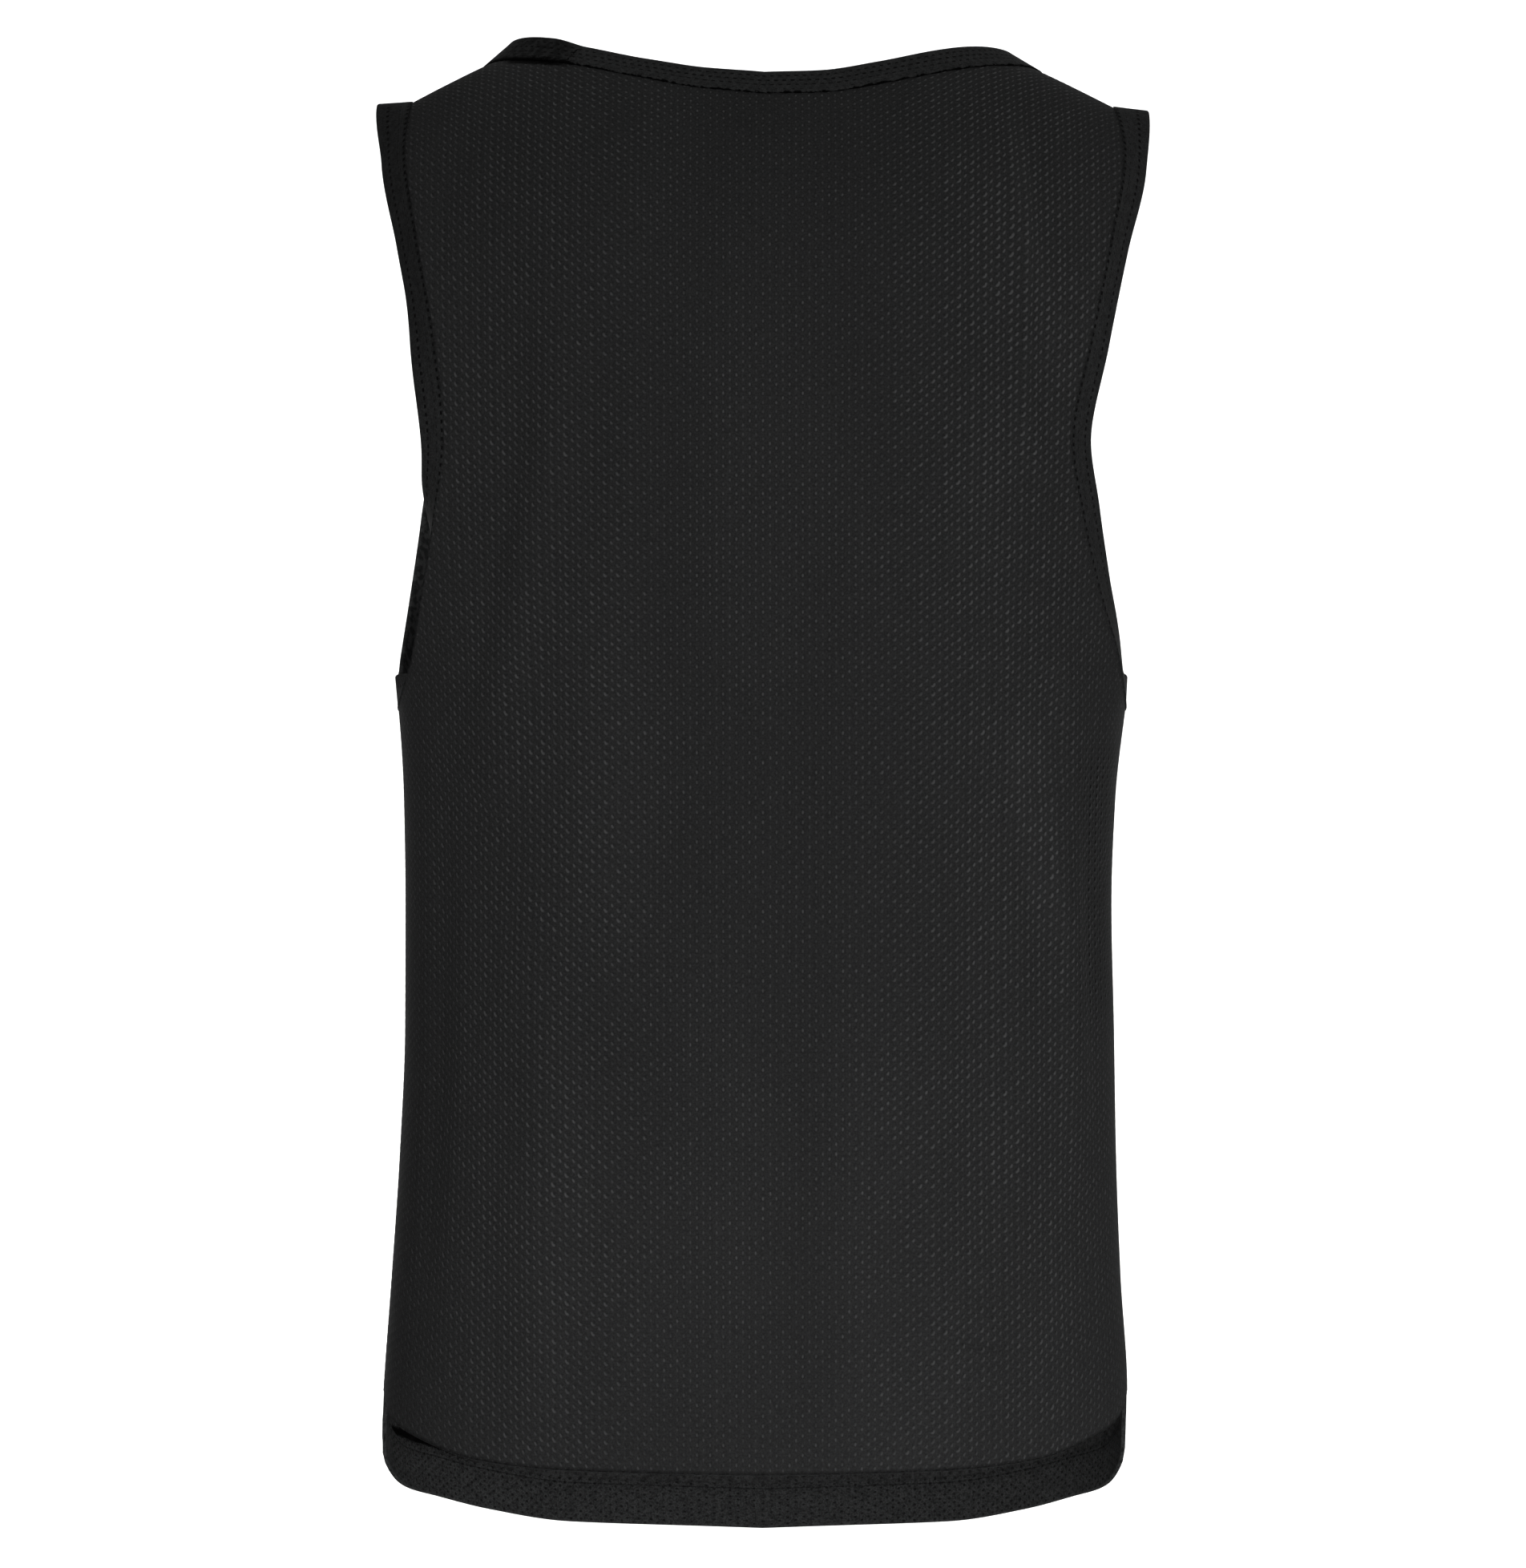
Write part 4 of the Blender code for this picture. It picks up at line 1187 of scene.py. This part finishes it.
# ---------------------------------------------------------------- settings and operators
class BibSettings(bpy.types.PropertyGroup):
    """Sizes and colours of the bib that a user may change."""

    wall: FloatProperty(name="Wall", description="Thickness of one layer of mesh",
                        default=WALL, unit="LENGTH")
    dimple: FloatProperty(name="Dimple", description="Depth of the hollow at each hole",
                          default=DIMPLE, unit="LENGTH")
    thread: FloatVectorProperty(name="Thread", description="Colour of the mesh's threads",
                                default=(0.0147, 0.0149, 0.0150), size=3, subtype="COLOR")
    # The colour of the painted highlight on each hole's lip.
    glint: FloatVectorProperty(name="Glint", description="Colour of the lit lip of each hole",
                               default=(0.046, 0.0465, 0.047), size=3, subtype="COLOR")
    doubled: FloatVectorProperty(name="Doubled", description="Colour where the mesh is doubled",
                                 default=(0.0140, 0.0143, 0.0144), size=3, subtype="COLOR")
    # The colour of painted shade seen through holes and in the stitching.
    pit_shade: FloatVectorProperty(name="Pit", description="Colour of a hole in doubled mesh",
                             default=(0.0018, 0.0018, 0.0018), size=3, subtype="COLOR")


class BIB_OT_panels(bpy.types.Operator):
    """Build the back and front panels with their turned-up hems"""

    bl_idname = "bib.panels"
    bl_label = "Panels"

    def execute(self, context):
        settings = context.scene.bib
        groups = groups_for_cloth()
        thread, pit_shade = rgba(settings.thread), rgba(settings.pit_shade)
        finishes = [outer_mesh_material(groups, thread, rgba(settings.glint), pit_shade),
                    hem_material(groups, rgba(settings.doubled), pit_shade),
                    inner_mesh_material(groups, thread, pit_shade)]
        for side in ("back", "front"):
            make_panel(side, settings, finishes)
        return {"FINISHED"}


class BIB_OT_bands(bpy.types.Operator):
    """Build the folded bands round the neck and both armholes"""

    bl_idname = "bib.bands"
    bl_label = "Bands"

    def execute(self, context):
        settings = context.scene.bib
        groups = groups_for_cloth()
        neck_finish, armhole_finish = (
            band_material(groups, place, rgba(settings.doubled), rgba(settings.pit_shade))
            for place in ("neck", "armhole"))
        make_band("neck_binding", neck_ring(), -1, NECK_LEAN, BAND_WIDTHS["neck"],
                  [neck_finish], "neck_band")
        for sign, hand in HANDS.items():
            make_band(f"armhole_binding_{hand}", armhole_ring(sign), sign, ARMHOLE_LEAN[hand],
                      BAND_WIDTHS["armhole"], [armhole_finish], f"armhole_band_{hand}")
        return {"FINISHED"}


class BIB_OT_stage(bpy.types.Operator):
    """Set up the floor, the lights and the camera"""

    bl_idname = "bib.stage"
    bl_label = "Stage"

    def execute(self, context):
        scene = context.scene
        mesh = bmesh.new()
        bmesh.ops.create_grid(mesh, x_segments=1, y_segments=40, size=1.0)
        for vertex in mesh.verts:
            run = (vertex.co.y + 1) / 2 * FLOOR_RUN
            turn = min(max((run - FLOOR_FLAT) / FLOOR_BEND, 0.0), math.pi / 2)
            past = max(run - FLOOR_FLAT - FLOOR_BEND * math.pi / 2, 0.0)
            y = FLOOR_START + min(run, FLOOR_FLAT) + FLOOR_BEND * math.sin(turn)
            z = FLOOR_HEIGHT + FLOOR_BEND * (1 - math.cos(turn)) + past
            vertex.co = (vertex.co.x * FLOOR_HALF_WIDTH, y, z)
        data = bpy.data.meshes.new("studio_floor")
        mesh.to_mesh(data)
        mesh.free()
        data.shade_smooth()
        floor = add_object("studio_floor", data)
        material = bpy.data.materials.new("pale_floor")
        material.use_nodes = True
        shader = material.node_tree.nodes["Principled BSDF"]
        shader.inputs["Base Color"].default_value = (0.86, 0.86, 0.86, 1.0)
        shader.inputs["Roughness"].default_value = 0.9
        data.materials.append(material)

        scene.view_settings.view_transform = "Standard"
        world = bpy.data.worlds.new("studio")
        scene.world = world
        world.use_nodes = True
        nodes = Nodes(world.node_tree)
        seen, soft = (nodes.add("ShaderNodeBackground",
                                {"Color": (1.0, 1.0, 1.0, 1.0), "Strength": strength})
                      for strength in (1.0, 0.6))
        by_camera = nodes.add("ShaderNodeLightPath", output="Is Camera Ray")
        either = nodes.add("ShaderNodeMixShader", {0: by_camera, 1: soft, 2: seen})
        nodes.add("ShaderNodeOutputWorld", {"Surface": either})
        for name, place, aim, size, power in LAMPS:
            light = bpy.data.lights.new(name, "AREA")
            light.shape = "SQUARE"
            light.size = size
            light.energy = power
            lamp = add_object(name, light)
            lamp.visible_camera = False
            lamp.location = place
            direction = np.array(aim, float) - np.array(place, float)
            yaw = math.atan2(direction[0], direction[1])
            pitch = math.atan2(direction[2], math.hypot(direction[0], direction[1]))
            lamp.rotation_euler = (math.pi / 2 + pitch, 0.0, -yaw)

        camera = bpy.data.cameras.new("photo_view")
        camera.sensor_width = SENSOR
        camera.lens = SENSOR * -CAMERA_PLACE[1] / PHOTO_HEIGHT
        scene.camera = add_object("photo_view", camera)
        scene.camera.location = CAMERA_PLACE
        scene.camera.rotation_euler = (math.pi / 2, 0.0, 0.0)
        return {"FINISHED"}


class BIB_PT_sidebar(bpy.types.Panel):
    """The bib's sizes, colours and operators"""

    bl_idname = "BIB_PT_sidebar"
    bl_label = "Training Bib"
    bl_space_type = "VIEW_3D"
    bl_region_type = "UI"
    bl_category = "Bib"

    def draw(self, context):
        settings = context.scene.bib
        for name in ("wall", "dimple", "thread", "glint", "doubled", "pit_shade"):
            self.layout.prop(settings, name)
        for operator in ("bib.panels", "bib.bands", "bib.stage"):
            self.layout.operator(operator)


CLASSES = (BibSettings, BIB_OT_panels, BIB_OT_bands, BIB_OT_stage, BIB_PT_sidebar)


def register():
    for each in CLASSES:
        bpy.utils.register_class(each)
    bpy.types.Scene.bib = PointerProperty(type=BibSettings)


def unregister():
    del bpy.types.Scene.bib
    for each in reversed(CLASSES):
        bpy.utils.unregister_class(each)


def main():
    register()
    bpy.ops.bib.panels()
    bpy.ops.bib.bands()
    bpy.ops.bib.stage()


if __name__ == "__main__":
    main()
